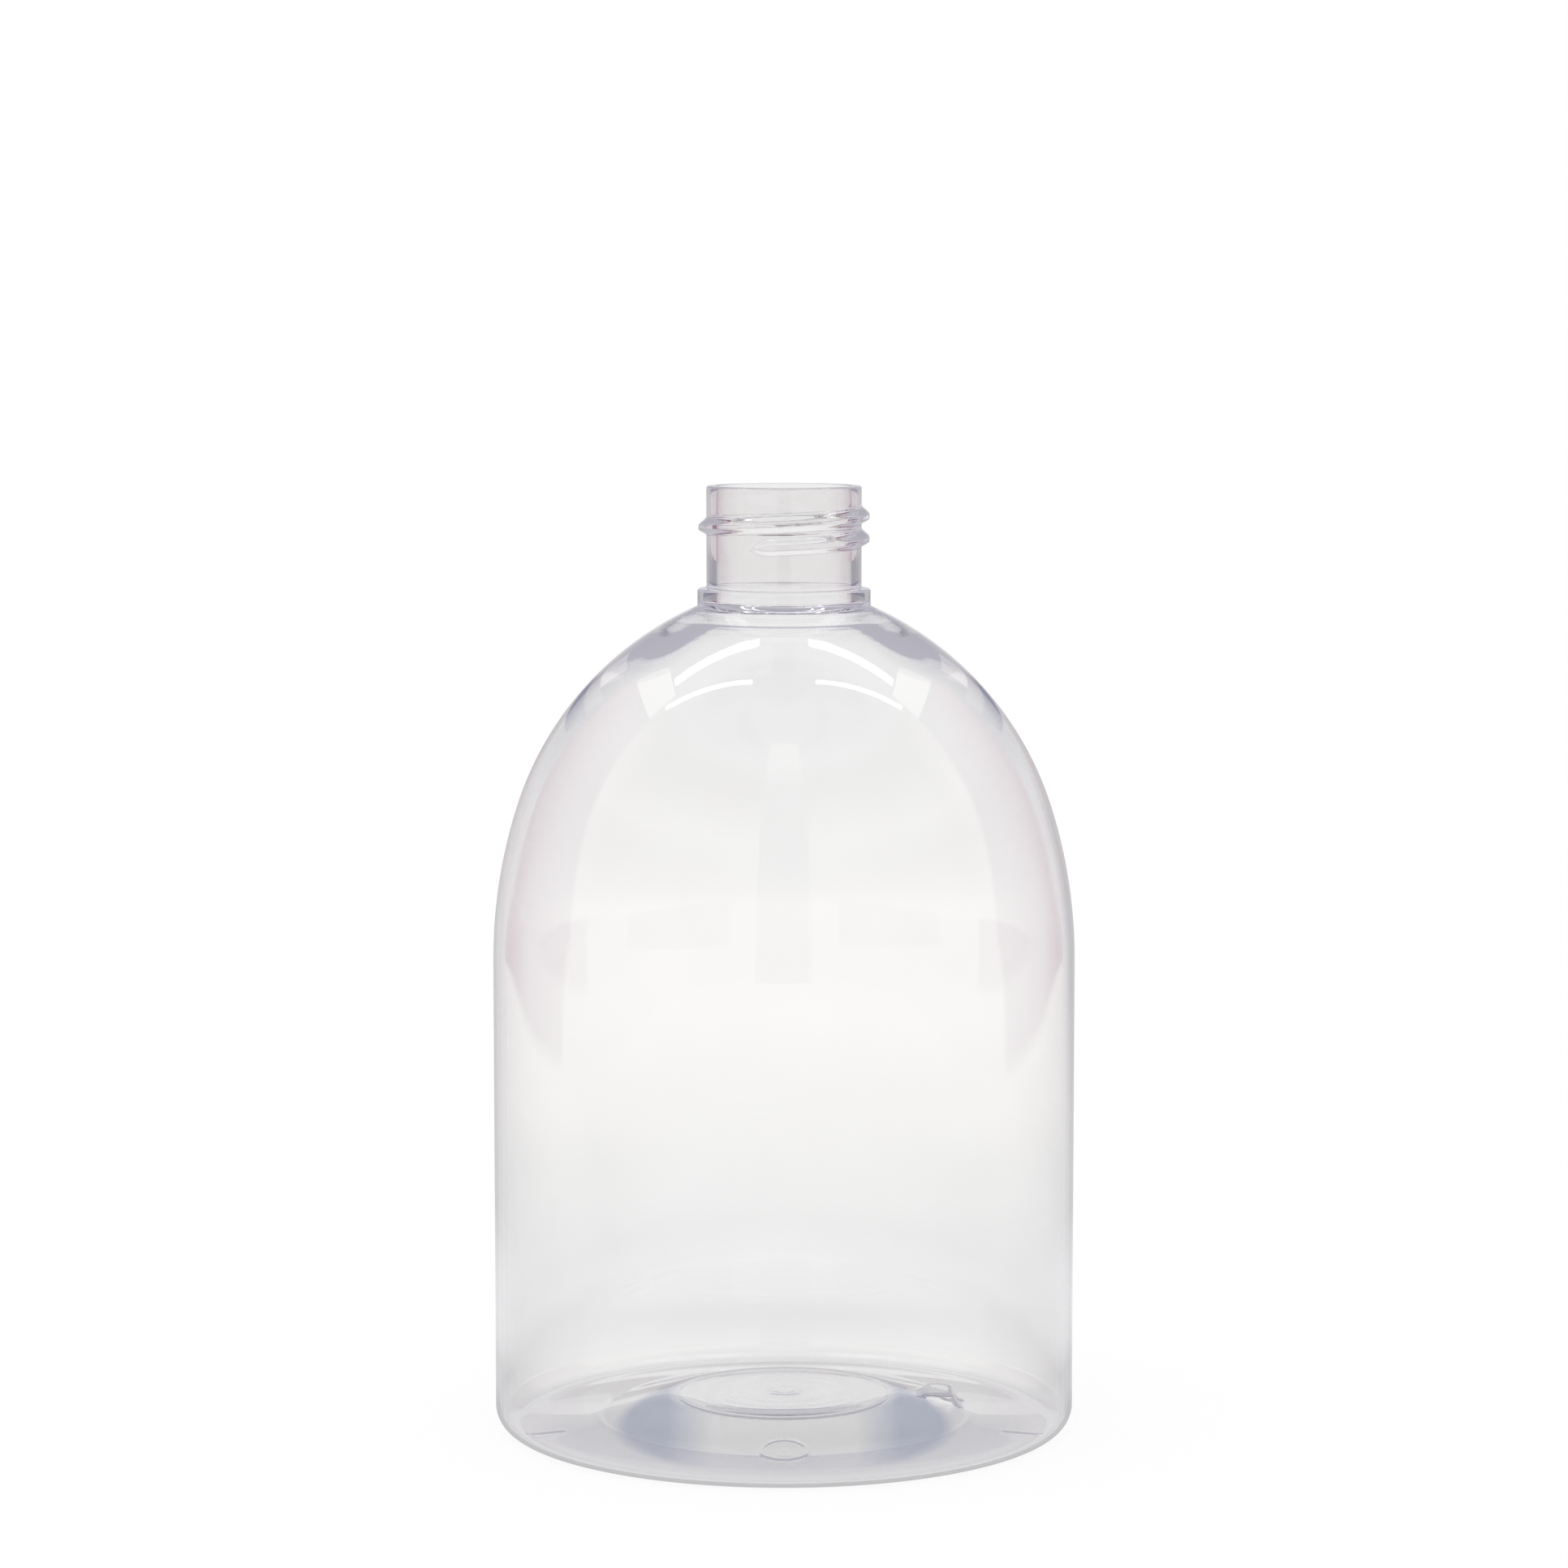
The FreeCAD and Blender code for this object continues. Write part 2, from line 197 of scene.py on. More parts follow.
def crowded_steps(start: float, end: float, count: int, crowds: list[Crowd]) -> np.ndarray:
    """Divide a line into steps that stand closer together at some places.

    The density is 1 plus each crowd's bump, and the steps are equal shares of its running sum.

    Args:
        start: First value.
        end: Last value.
        count: Number of steps.
        crowds: Places where the steps are closer.

    Returns:
        count + 1 rising values.
    """
    line = np.linspace(start, end, LINE_SAMPLES)
    density = np.ones_like(line)
    for crowd in crowds:
        edge = (crowd.half_width - np.abs(line - crowd.centre)) / (0.3 * crowd.half_width)
        density += crowd.times * smooth_step(edge + 0.5)
    share = np.concatenate([[0.0], np.cumsum((density[1:] + density[:-1]) / 2)])
    return np.interp(np.linspace(0.0, share[-1], count + 1), share, line)


class ProfileLine:
    """A half profile that grows from its first point. A point is a radius and a height."""

    def __init__(self, start: tuple[float, float]) -> None:
        """Start the line at a point."""
        self.runs = [np.array([start], dtype=float)]

    @property
    def end(self) -> np.ndarray:
        """The last point so far."""
        return self.runs[-1][-1]

    @property
    def points(self) -> np.ndarray:
        """All points, one to a row."""
        return np.concatenate(self.runs)

    def straight(self, end: tuple[float, float], gap: float) -> None:
        """Go straight to a point: the start plus equal shares of the way.

        Args:
            end: The point.
            gap: Longest step.
        """
        start = self.end
        way = np.asarray(end, dtype=float) - start
        steps = max(1, math.ceil(float(np.hypot(*way)) / gap))
        self.runs.append(start + np.arange(1, steps + 1)[:, None] / steps * way)

    def arc(self, centre: tuple[float, float], radius: float, angles: tuple[float, float], steps: int) -> None:
        """Follow an arc: the centre plus the radius times cosine and sine of the angle.

        Args:
            centre: Centre of the arc.
            radius: Its radius.
            angles: First and last angle.
            steps: Number of steps.
        """
        angle = np.linspace(*angles, steps + 1)[1:]
        ring = np.column_stack([np.cos(angle), np.sin(angle)])
        self.runs.append(np.asarray(centre) + radius * ring)

    def rounded(
        self, corner: tuple[float, float], after: tuple[float, float], radius: float, steps: int, gap: float
    ) -> None:
        """Go straight towards a corner and round it with an arc tangent to both of its sides.

        The arc touches each side at the radius over the tangent of half the corner's angle.

        Args:
            corner: The sharp corner.
            after: The point that the second side leads to.
            radius: Radius of the rounding.
            steps: Steps along the rounding.
            gap: Longest step on the way to it.
        """
        tip = np.asarray(corner, dtype=float)
        back, ahead = self.end - tip, np.asarray(after, dtype=float) - tip
        back, ahead = back / np.hypot(*back), ahead / np.hypot(*ahead)
        half = math.acos(float(np.clip(back @ ahead, -1.0, 1.0))) / 2
        middle = (back + ahead) / np.hypot(*(back + ahead))
        centre = tip + middle * radius / math.sin(half)
        touch = [tip + side * radius / math.tan(half) for side in (back, ahead)]
        self.straight(tuple(touch[0]), gap)
        first, last = (math.atan2(p[1] - centre[1], p[0] - centre[0]) for p in touch)
        turn = (last - first + math.pi) % (2 * math.pi) - math.pi
        self.arc(tuple(centre), radius, (first, first + turn), steps)

    def curve(self, points: np.ndarray) -> None:
        """Add points that are already worked out, one to a row."""
        self.runs.append(points)


@dataclass(frozen=True)
class ScrewThread:
    """The screw thread of the neck: one right-hand start with a steep lower flank."""

    pitch: float = 3.175 * MM
    turns: float = 1.30
    depth: float = 1.1 * MM
    crest_width: float = 0.5 * MM
    lower_flank: float = 0.8 * MM
    upper_flank: float = 1.35 * MM
    drop: float = 4.17 * MM
    start_angle: float = math.radians(259.0)
    run_in: float = math.radians(22.0)

    def reach(self, sizes: BottleSizes) -> tuple[float, float]:
        """Return the lowest and highest height that the thread touches.

        Args:
            sizes: Sizes of the bottle.

        Returns:
            The two heights.
        """
        last = sizes.height - self.drop
        first = last - (self.turns + 0.1) * self.pitch
        margin = self.crest_width + self.upper_flank
        return first - margin, last + margin

    def rise(self, sizes: BottleSizes, height: np.ndarray, azimuth: np.ndarray) -> np.ndarray:
        """Work out how far the thread stands out of the neck.

        Each turn's crest climbs with the azimuth. The rise is the depth times the smaller of two
        soft steps, one for each flank, and it fades and narrows in the run-in at both ends.

        Args:
            sizes: Sizes of the bottle.
            height: Heights of the points.
            azimuth: Azimuths of the points.

        Returns:
            The rise of each point.
        """
        first = sizes.height - self.drop - self.turns * self.pitch
        length = 2 * math.pi * self.turns
        rise = np.zeros(np.broadcast(height, azimuth).shape)
        for turn in range(4):
            along = azimuth + 2 * math.pi * turn - self.start_angle
            above = height - (first + self.pitch * along / (2 * math.pi))
            fade = smooth_step(along / self.run_in + 1) * smooth_step((length - along) / self.run_in + 1)
            lower = smooth_step((above + fade * (self.crest_width / 2 + self.lower_flank)) / self.lower_flank)
            upper = smooth_step((fade * (self.crest_width / 2 + self.upper_flank) - above) / self.upper_flank)
            rise = np.maximum(rise, self.depth * np.minimum(lower, upper) * fade)
        return rise


@dataclass(frozen=True)
class BaseRelief:
    """What the base mould adds to the plain cone: ripples, index notch, ring mark and two bars."""

    ripple_radii: tuple[float, ...] = (2.9 * MM, 5.3 * MM, 7.8 * MM, 10.6 * MM)
    ripple_width: float = 0.75 * MM
    ripple_height: float = 0.012 * MM
    ridge_width: float = 0.22 * MM
    ridge_height: float = 0.016 * MM
    notch_inner: float = 19.8 * MM
    notch_outer: float = 24.2 * MM
    notch_face: float = 0.7 * MM
    notch_straight: float = 5.0 * MM
    notch_height: float = 3.3 * MM
    notch_draft: float = 0.45 * MM
    roof_draft: float = 0.99 * MM
    mark_distance: float = 24.1 * MM
    mark_radius: float = 3.1 * MM
    mark_width: float = 0.28 * MM
    mark_height: float = 0.09 * MM
    dot_radius: float = 0.672 * MM
    bar_distance: float = 10.6 * MM
    bar_inner: float = 31.2 * MM
    bar_outer: float = 35.6 * MM
    bar_width: float = 0.38 * MM
    bar_depth: float = 0.32 * MM

    def notch_inset(self, x: np.ndarray, y: np.ndarray) -> np.ndarray:
        """Work out how deep inside the notch's outline a point lies, below 0 outside of it.

        The outline is a rectangle with a round end: the smallest distance to its straight
        sides up to the end's centre, and the distance to the round end beyond.

        Args:
            x: Coordinates across.
            y: Coordinates along the notch.

        Returns:
            The distances.
        """
        half = (self.notch_outer - self.notch_inner) / 2
        across = np.abs(x - (self.notch_outer + self.notch_inner) / 2)
        end = self.notch_face + self.notch_straight
        beyond = half - np.hypot(across, y - end)
        return np.where(y < end, np.minimum(half - across, y - self.notch_face), beyond)

    def lift_outside(
        self, sizes: BottleSizes, radius: np.ndarray, azimuth: np.ndarray, plain: np.ndarray
    ) -> np.ndarray:
        """Work out how far the relief lifts the underside above the plain base.

        Ripples, ridge, mark and bars are bell curves of the distance from their lines.

        Args:
            sizes: Sizes of the bottle.
            radius: Radii of the points.
            azimuth: Azimuths of the points.
            plain: Heights of the plain base.

        Returns:
            The lift of each point.
        """
        x = radius * np.cos(azimuth)
        y = radius * np.sin(azimuth)
        lift = np.zeros(np.broadcast(radius, azimuth).shape)
        for ripple in self.ripple_radii:
            lift -= self.ripple_height * np.exp(-(((radius - ripple) / self.ripple_width) ** 2))
        lift -= self.ridge_height * np.exp(-(((radius - sizes.disc_radius) / self.ridge_width) ** 2))

        from_mark = np.hypot(x, y + self.mark_distance)
        ring = np.exp(-(((from_mark - self.mark_radius) / self.mark_width) ** 2))
        dot = np.exp(-((from_mark / self.dot_radius) ** 2))
        lift -= self.mark_height * (ring + dot)

        across = np.abs(x)
        within = smooth_step((across - self.bar_inner) / self.bar_width)
        within = within * smooth_step((self.bar_outer - across) / self.bar_width)
        lift += self.bar_depth * within * np.exp(-(((y + self.bar_distance) / self.bar_width) ** 2))

        notch = smooth_step(self.notch_inset(x, y) / self.notch_draft + 0.1)
        return lift + notch * np.maximum(self.notch_height - plain, 0.0)

    def lift_inside(
        self, radius: np.ndarray, azimuth: np.ndarray, plain: np.ndarray, wall: float
    ) -> np.ndarray:
        """Work out how far the notch's roof lifts the floor inside.

        Args:
            radius: Radii of the points.
            azimuth: Azimuths of the points.
            plain: Heights of the plain floor.
            wall: Thickness of the roof.

        Returns:
            The lift of each point.
        """
        inset = self.notch_inset(radius * np.cos(azimuth), radius * np.sin(azimuth)) + wall
        roof = smooth_step(inset / self.roof_draft)
        return roof * np.maximum(self.notch_height + wall - plain, 0.0)


@dataclass(frozen=True)
class BlownWall:
    """How unevenly the wall blows out: long soft waves on the inside, and the mould's seam outside."""

    waves: int = 9
    wave_height: float = 0.007 * MM
    seed: int = 11
    seam_width: float = 0.16 * MM
    seam_height: float = 0.035 * MM

    def ripple(self, height: np.ndarray, azimuth: np.ndarray) -> np.ndarray:
        """Sum waves that wind around the wall: cosines of azimuth and height with drawn phases.

        Args:
            height: Heights of the points.
            azimuth: Azimuths of the points.

        Returns:
            The ripple of each point.
        """
        draw = np.random.default_rng(self.seed)
        total = np.zeros(np.broadcast(height, azimuth).shape)
        for around in draw.integers(2, 14, self.waves):
            along = draw.uniform(-0.12, 0.12) / MM
            total += np.cos(around * azimuth + along * height + draw.uniform(0, 2 * math.pi))
        return self.wave_height * total

    def seam(self, radius: np.ndarray, azimuth: np.ndarray) -> np.ndarray:
        """Lower all but a fine line in the parting plane, by 1 less a bell curve of the distance to it."""
        return self.seam_height * (np.exp(-((radius * np.sin(azimuth) / self.seam_width) ** 2)) - 1.0)


@dataclass
class BottleShell:
    """The whole bottle as one closed skin, outside and inside."""

    sizes: BottleSizes
    thread: ScrewThread = field(default_factory=ScrewThread)
    relief: BaseRelief = field(default_factory=BaseRelief)
    wall: BlownWall = field(default_factory=BlownWall)
    columns: int = 240
    base_steps: int = 92
    floor_steps: int = 44
    root_steps: int = 40
    thread_gap: float = 0.14 * MM
    body_gap: float = 3.6 * MM
    # Where the root sags, by the square of the azimuth's cosine
    sag_edge: float = 0.34
    sag_softness: float = 0.42

    def azimuths(self) -> np.ndarray:
        """Return the columns' azimuths, closer at the notch, the ring mark and the bars.

        Returns:
            Rising azimuths over one turn, without the last.
        """
        crowds = [
            Crowd(math.radians(10.5), math.radians(11.0), 2.6),
            Crowd(math.radians(270.0), math.radians(9.5), 4.5),
            Crowd(math.radians(197.6), math.radians(2.4), 5.5),
            Crowd(math.radians(342.4), math.radians(2.4), 5.5),
        ]
        return crowded_steps(0.0, 2 * math.pi, self.columns, crowds)[:-1]

    def plain_base(self, radius: np.ndarray) -> np.ndarray:
        """Return the underside's height without relief: disc and cone, less the gate mark.

        The corners of a straight profile are rounded by averaging it over a width.

        Args:
            radius: Radii of the points.

        Returns:
            The heights.
        """
        s = self.sizes
        radii = [0.0, s.disc_radius, s.cone_radius, s.land_inner, s.land_outer]
        heights = [s.disc_height, s.disc_height, s.cone_height, 0.0, 0.0]
        gate_radii = [0.0, s.gate_radius, s.gate_radius + 0.2 * MM]
        gate = self.averaged(radius, gate_radii, [s.gate_depth, s.gate_depth, 0.0], s.gate_rounding)
        return self.averaged(radius, radii, heights, self.corner_rounding(radius)) - gate

    def plain_floor(self, radius: np.ndarray) -> np.ndarray:
        """Return the height of the inside's floor, rounded over the same width.

        Args:
            radius: Radii of the points.

        Returns:
            The heights.
        """
        s = self.sizes
        radii = [0.0, s.disc_radius, s.cone_radius, s.land_inner, s.land_outer]
        disc = s.disc_height + s.disc_wall
        heights = [disc, disc, s.cone_height + s.cone_wall, s.wall, s.wall]
        return self.averaged(radius, radii, heights, self.corner_rounding(radius))

    def corner_rounding(self, radius: np.ndarray) -> np.ndarray:
        """Return the widths to average the base over: evenly less from the disc's edge to the cone's."""
        s = self.sizes
        return np.interp(radius, [s.disc_radius, s.cone_radius], [s.disc_rounding, s.cone_rounding])

    @staticmethod
    def averaged(radius: np.ndarray, radii: list[float], heights: list[float], rounding: object) -> np.ndarray:
        """Average a profile of straight stretches over a width to both sides of each radius.

        Args:
            radius: Where the height is wanted.
            radii: Radii of the corners.
            heights: Heights of the corners.
            rounding: Width to each side, one for all or one for each radius.

        Returns:
            The heights.
        """
        offsets = np.linspace(-1.0, 1.0, AVERAGE_SAMPLES) * np.broadcast_to(rounding, radius.shape)[:, None]
        return np.interp(np.abs(radius[:, None] + offsets), radii, heights).mean(axis=1)

    def outside(self) -> np.ndarray:
        """Return the outside's profile from the base's centre to the top of the mouth's outer edge.

        Returns:
            Radii and heights, one point to a row.
        """
        s = self.sizes
        crowds = [
            Crowd(24.2 * MM, 4.9 * MM, 2.6),
            Crowd(s.disc_radius, 0.8 * MM, 4.0),
            Crowd(s.gate_radius, 0.7 * MM, 2.0),
            Crowd(s.land_inner, 0.6 * MM, 2.0),
        ]
        radius = crowded_steps(0.0, s.land_outer, self.base_steps, crowds)[1:]
        line = ProfileLine((radius[0], self.plain_base(radius)[0]))
        line.curve(np.column_stack([radius, self.plain_base(radius)])[1:])

        line.arc((s.land_outer, s.heel_radius), s.heel_radius, (-math.pi / 2, 0.0), 12)
        line.straight((s.body_radius, s.shoulder_start), self.body_gap)
        line.arc(s.lower_centre, s.lower_shoulder_radius, (0.0, s.lower_angle), 18)
        centre, reach = s.upper_arc
        last = math.atan2(s.ring_base - centre[1], s.ring_radius - centre[0])
        line.arc(centre, reach, (s.lower_angle, last), 30)

        ring_top = s.ring_base + s.ring_thickness
        neck_foot = (s.neck_radius, ring_top + s.ring_slope)
        ring_edge = (s.ring_radius, ring_top)
        line.rounded(ring_edge, neck_foot, s.ring_rounding, 5, 1.2 * MM)
        mouth = (s.neck_radius, s.height)
        line.rounded(neck_foot, mouth, s.ring_rounding, 5, 0.4 * MM)
        low, high = self.thread.reach(s)
        line.straight((s.neck_radius, low), 0.9 * MM)
        line.straight((s.neck_radius, high), self.thread_gap)
        line.rounded(mouth, (s.bore_radius, s.height), s.rim_rounding, 6, 0.9 * MM)
        return line.points

    def inside(self) -> np.ndarray:
        """Return the inside's profile from the mouth's inner edge down to the floor's centre.

        Returns:
            Radii and heights, one point to a row.
        """
        s = self.sizes
        root = self.thick_root()
        slope = (root[0, 1] - root[1, 1]) / (root[1, 0] - root[0, 0])
        throat = (s.bore_radius, root[0, 1] + slope * (root[0, 0] - s.bore_radius))

        line = ProfileLine((s.neck_radius - s.rim_rounding, s.height))
        line.rounded((s.bore_radius, s.height), throat, s.lip_rounding, 5, 0.5 * MM)
        line.rounded(throat, tuple(root[0]), s.throat_rounding, 10, 2.2 * MM)
        line.curve(root)
        line.arc(s.lower_centre, s.lower_shoulder_radius - s.wall, (s.lower_angle, 0.0), 18)
        line.straight((s.body_radius - s.wall, s.heel_radius), self.body_gap)
        line.arc((s.land_outer, s.heel_radius), s.heel_radius - s.wall, (0.0, -math.pi / 2), 8)

        crowds = [Crowd(22.0 * MM, 3.2 * MM, 1.6)]
        radius = crowded_steps(0.0, s.land_outer, self.floor_steps, crowds)[1:-1][::-1]
        line.curve(np.column_stack([radius, self.plain_floor(radius)]))
        return line.points

    def thick_root(self) -> np.ndarray:
        """Return the inside of the shoulder's upper arc, whose wall thickens towards the neck.

        The outside's arc is offset inwards by the wall, plus a soft step and a fine ring.

        Returns:
            Radii and heights from the neck down to the lower arc.
        """
        s = self.sizes
        centre, reach = s.upper_arc
        last = math.atan2(s.ring_base - centre[1], s.ring_radius - centre[0])
        ring_angle = math.acos((s.root_ring - centre[0]) / reach)
        crowds = [Crowd(ring_angle, math.radians(1.0), 9.0)]
        angle = crowded_steps(s.lower_angle, last, self.root_steps, crowds)[::-1]
        thick = s.wall + s.root_swell * smooth_step((angle - s.swell_start) / (s.root_full - s.swell_start))
        thick += s.ring_lift * np.exp(-(((angle - ring_angle) * reach / s.ring_width) ** 2))
        ring = np.column_stack([np.cos(angle), np.sin(angle)])
        return np.asarray(centre) + (reach - thick)[:, None] * ring

    def root_sag(self, inside: np.ndarray) -> np.ndarray:
        """Work out how much lower the root's inside lies in the parting plane than in front.

        It is a soft step of the angle about the upper arc's centre, less a second one nearer to
        the neck and the swell of the front, over the angle's sine. It fades out up the bore.

        Args:
            inside: Profile of the inside.

        Returns:
            The sag of each point of the profile.
        """
        s = self.sizes
        centre, _ = s.upper_arc
        angle = np.arctan2(inside[:, 1] - centre[1], inside[:, 0] - centre[0])
        sag = s.root_sag * smooth_step((angle - s.sag_start) / (s.sag_full - s.sag_start))
        sag -= s.sag_return * smooth_step((angle - s.return_start) / (s.return_full - s.return_start))
        sag -= s.root_swell * smooth_step((angle - s.swell_start) / (s.root_full - s.swell_start))
        fade = smooth_step((s.height - inside[:, 1]) / (s.height - s.ring_base))
        return sag * fade / np.sin(np.maximum(angle, s.sag_start))

    def grid(self) -> tuple[np.ndarray, np.ndarray, np.ndarray]:
        """Turn both profiles about Z and lay thread, relief, seam and waves on them.

        A point is its radius times cosine and sine of its azimuth, and its height. The root sags
        near the parting plane, by a soft step of the square of the azimuth's cosine.

        Returns:
            Coordinates X, Y and Z with a row for each profile point and a column for each azimuth.
        """
        s = self.sizes
        outside, inside = self.outside(), self.inside()
        radius, height = (np.concatenate([outside[:, k], inside[:, k]])[:, None] for k in (0, 1))
        azimuth = self.azimuths()[None, :]
        sag = np.concatenate([np.zeros(len(outside)), self.root_sag(inside)])[:, None]
        height = height - sag * smooth_step((np.cos(azimuth) ** 2 - self.sag_edge) / self.sag_softness)
        outer = (np.arange(len(radius)) < len(outside))[:, None]
        base = (radius < s.land_outer) & (height < 2 * s.heel_radius)
        side = smooth_step((height - s.heel_radius) / s.heel_radius)
        side = side * smooth_step((s.ring_base - 4 * s.heel_radius - height) / (6 * s.heel_radius))

        lift = np.where(
            outer,
            self.relief.lift_outside(s, radius, azimuth, height),
            self.relief.lift_inside(radius, azimuth, height, s.wall),
        )
        below_ring = smooth_step((s.ring_base - height) / s.ring_thickness)
        swell = np.where(
            outer,
            self.thread.rise(s, height, azimuth) + below_ring * self.wall.seam(radius, azimuth) * ~base,
            side * self.wall.ripple(height, azimuth),
        )
        turned = radius + swell
        return turned * np.cos(azimuth), turned * np.sin(azimuth), height + base * lift

    def build(self, name: str) -> bpy.types.Object:
        """Make the skin: quads between the grid's rows, and a fan about each of its two poles.

        Args:
            name: Name of the new piece.

        Returns:
            The piece.
        """
        x, y, z = self.grid()
        rows, columns = x.shape
        poles = np.array([[0.0, 0.0, z[0].mean()], [0.0, 0.0, z[-1].mean()]])
        points = np.concatenate([np.stack([x, y, z], axis=2).reshape(-1, 3), poles])

        index = np.arange(rows * columns).reshape(rows, columns)
        ahead = np.roll(index, -1, axis=1)
        quads = np.stack([index[:-1], ahead[:-1], ahead[1:], index[1:]], axis=2).reshape(-1, 4)
        low_pole, high_pole = (np.full(columns, rows * columns + k) for k in (0, 1))
        low_fan = np.stack([low_pole, ahead[0], index[0]], axis=1)
        high_fan = np.stack([high_pole, index[-1], ahead[-1]], axis=1)

        mesh = bpy.data.meshes.new(name)
        mesh.from_pydata(points.tolist(), [], quads.tolist() + low_fan.tolist() + high_fan.tolist())
        mesh.polygons.foreach_set("use_smooth", np.ones(len(mesh.polygons), dtype=bool))
        mesh.update()
        piece = bpy.data.objects.new(name, mesh)
        bpy.context.scene.collection.objects.link(piece)
        log.info("%s: %d rows of %d columns", name, rows, columns)
        return piece


class NodeTree:
    """Short calls for adding and joining shader nodes."""

    def __init__(self, tree: bpy.types.NodeTree) -> None:
        """Work on a node tree."""
        self.tree = tree

    def add(self, kind: str, **values: object) -> bpy.types.Node:
        """Add a node and set its inputs or properties by name.

        Args:
            kind: The node's class name without its ShaderNode prefix.
            **values: Properties of the node, or inputs with spaces written as underscores.

        Returns:
            The node.
        """
        node = self.tree.nodes.new(f"ShaderNode{kind}")
        for name, value in values.items():
            if hasattr(node, name):
                setattr(node, name, value)
            else:
                node.inputs[name.replace("_", " ")].default_value = value
        return node

    def join(self, output: bpy.types.NodeSocket, socket: bpy.types.NodeSocket) -> None:
        """Link an output to an input."""
        self.tree.links.new(output, socket)

    def maths(self, operation: str, *terms: object) -> bpy.types.NodeSocket:
        """Add a Math node whose terms are numbers or outputs.

        Args:
            operation: The node's operation.
            *terms: Numbers or outputs.

        Returns:
            The node's output.
        """
        node = self.add("Math", operation=operation)
        for socket, term in zip(node.inputs, terms):
            if isinstance(term, bpy.types.NodeSocket):
                self.join(term, socket)
            else:
                socket.default_value = term
        return node.outputs[0]

    def split(self, vector: bpy.types.NodeSocket) -> list[bpy.types.NodeSocket]:
        """Split a vector into its coordinates.

        Args:
            vector: The vector.

        Returns:
            Its X, Y and Z.
        """
        node = self.add("SeparateXYZ")
        self.join(vector, node.inputs["Vector"])
        return [node.outputs[name] for name in "XYZ"]

    def length(self, x: bpy.types.NodeSocket, y: bpy.types.NodeSocket) -> bpy.types.NodeSocket:
        """Return a flat vector's length, the root of the sum of its squares."""
        return self.maths("SQRT", self.maths("ADD", self.maths("MULTIPLY", x, x), self.maths("MULTIPLY", y, y)))

    def step_past(self, value: object, limit: object, softness: object) -> bpy.types.NodeSocket:
        """Step evenly from 0 to 1 where a value passes a limit.

        Args:
            value: Number or output.
            limit: Number or output.
            softness: Width of the step.

        Returns:
            The step's output.
        """
        over = self.maths("DIVIDE", self.maths("SUBTRACT", value, limit), softness)
        clipped = self.add("Clamp")
        self.join(self.maths("ADD", over, 0.5), clipped.inputs["Value"])
        return clipped.outputs["Result"]

    def ramp(self, value: bpy.types.NodeSocket, stops: list[tuple[float, Colour]]) -> bpy.types.NodeSocket:
        """Colour a value by stops, softly between them.

        Args:
            value: A value from 0 to 1.
            stops: Positions and colours.

        Returns:
            The colour.
        """
        node = self.add("ValToRGB")
        elements = node.color_ramp.elements
        while len(elements) < len(stops):
            elements.new(0.5)
        for element, (position, colour) in zip(elements, stops):
            element.position = position
            element.color = (*colour, 1.0)
        self.join(value, node.inputs["Fac"])
        return node.outputs["Color"]

    def mix(self, factor: object, first: object, second: object) -> bpy.types.NodeSocket:
        """Mix two colours, each a colour or an output.

        Args:
            factor: Share of the second colour.
            first: First colour.
            second: Second colour.

        Returns:
            The mixed colour.
        """
        node = self.add("Mix", data_type="RGBA")
        for socket, value in zip((node.inputs[0], node.inputs[6], node.inputs[7]), (factor, first, second)):
            if isinstance(value, bpy.types.NodeSocket):
                self.join(value, socket)
            else:
                socket.default_value = (*value, 1.0) if isinstance(value, tuple) else value
        return node.outputs[2]


def new_material(name: str) -> tuple[bpy.types.Material, NodeTree, bpy.types.Node]:
    """Make a material with only its output node.

    Args:
        name: Name of the material.

    Returns:
        The material, its nodes and its output node.
    """
    material = bpy.data.materials.new(name)
    material.use_nodes = True
    material.node_tree.nodes.clear()
    nodes = NodeTree(material.node_tree)
    return material, nodes, nodes.add("OutputMaterial")


def new_group(
    name: str, inputs: dict[str, str], outputs: dict[str, str]
) -> tuple[bpy.types.NodeTree, NodeTree, bpy.types.NodeOutputs, bpy.types.NodeInputs]:
    """Make a node group with named inputs and outputs.

    Args:
        name: Name of the group.
        inputs: The inputs' names and kinds.
        outputs: The outputs' names and kinds.

    Returns:
        The group, its nodes, what comes in and what goes out.
    """
    group = bpy.data.node_groups.new(name, "ShaderNodeTree")
    for direction, sockets in (("INPUT", inputs), ("OUTPUT", outputs)):
        for socket, kind in sockets.items():
            group.interface.new_socket(socket, in_out=direction, socket_type=f"NodeSocket{kind}")
    start = group.nodes.new("NodeGroupInput")
    end = group.nodes.new("NodeGroupOutput")
    return group, NodeTree(group), start.outputs, end.inputs


def blown_surface_group() -> bpy.types.NodeTree:
    """Build the effect that clouds a blown plastic surface.

    Two noises of different size give a cloud from 0 to 1 and a soft height.

    Returns:
        The node group.
    """
    inputs = {"Vector": "Vector", "Cloud Scale": "Float", "Skin Scale": "Float"}
    group, nodes, start, end = new_group("blown_surface", inputs, {"Cloud": "Float", "Height": "Float"})
    for scale, output, detail in (("Cloud Scale", "Cloud", 3.0), ("Skin Scale", "Height", 1.0)):
        noise = nodes.add("TexNoise", Detail=detail, Roughness=0.5)
        nodes.join(start["Vector"], noise.inputs["Vector"])
        nodes.join(start[scale], noise.inputs["Scale"])
        nodes.join(noise.outputs["Fac"], end[output])
    return group


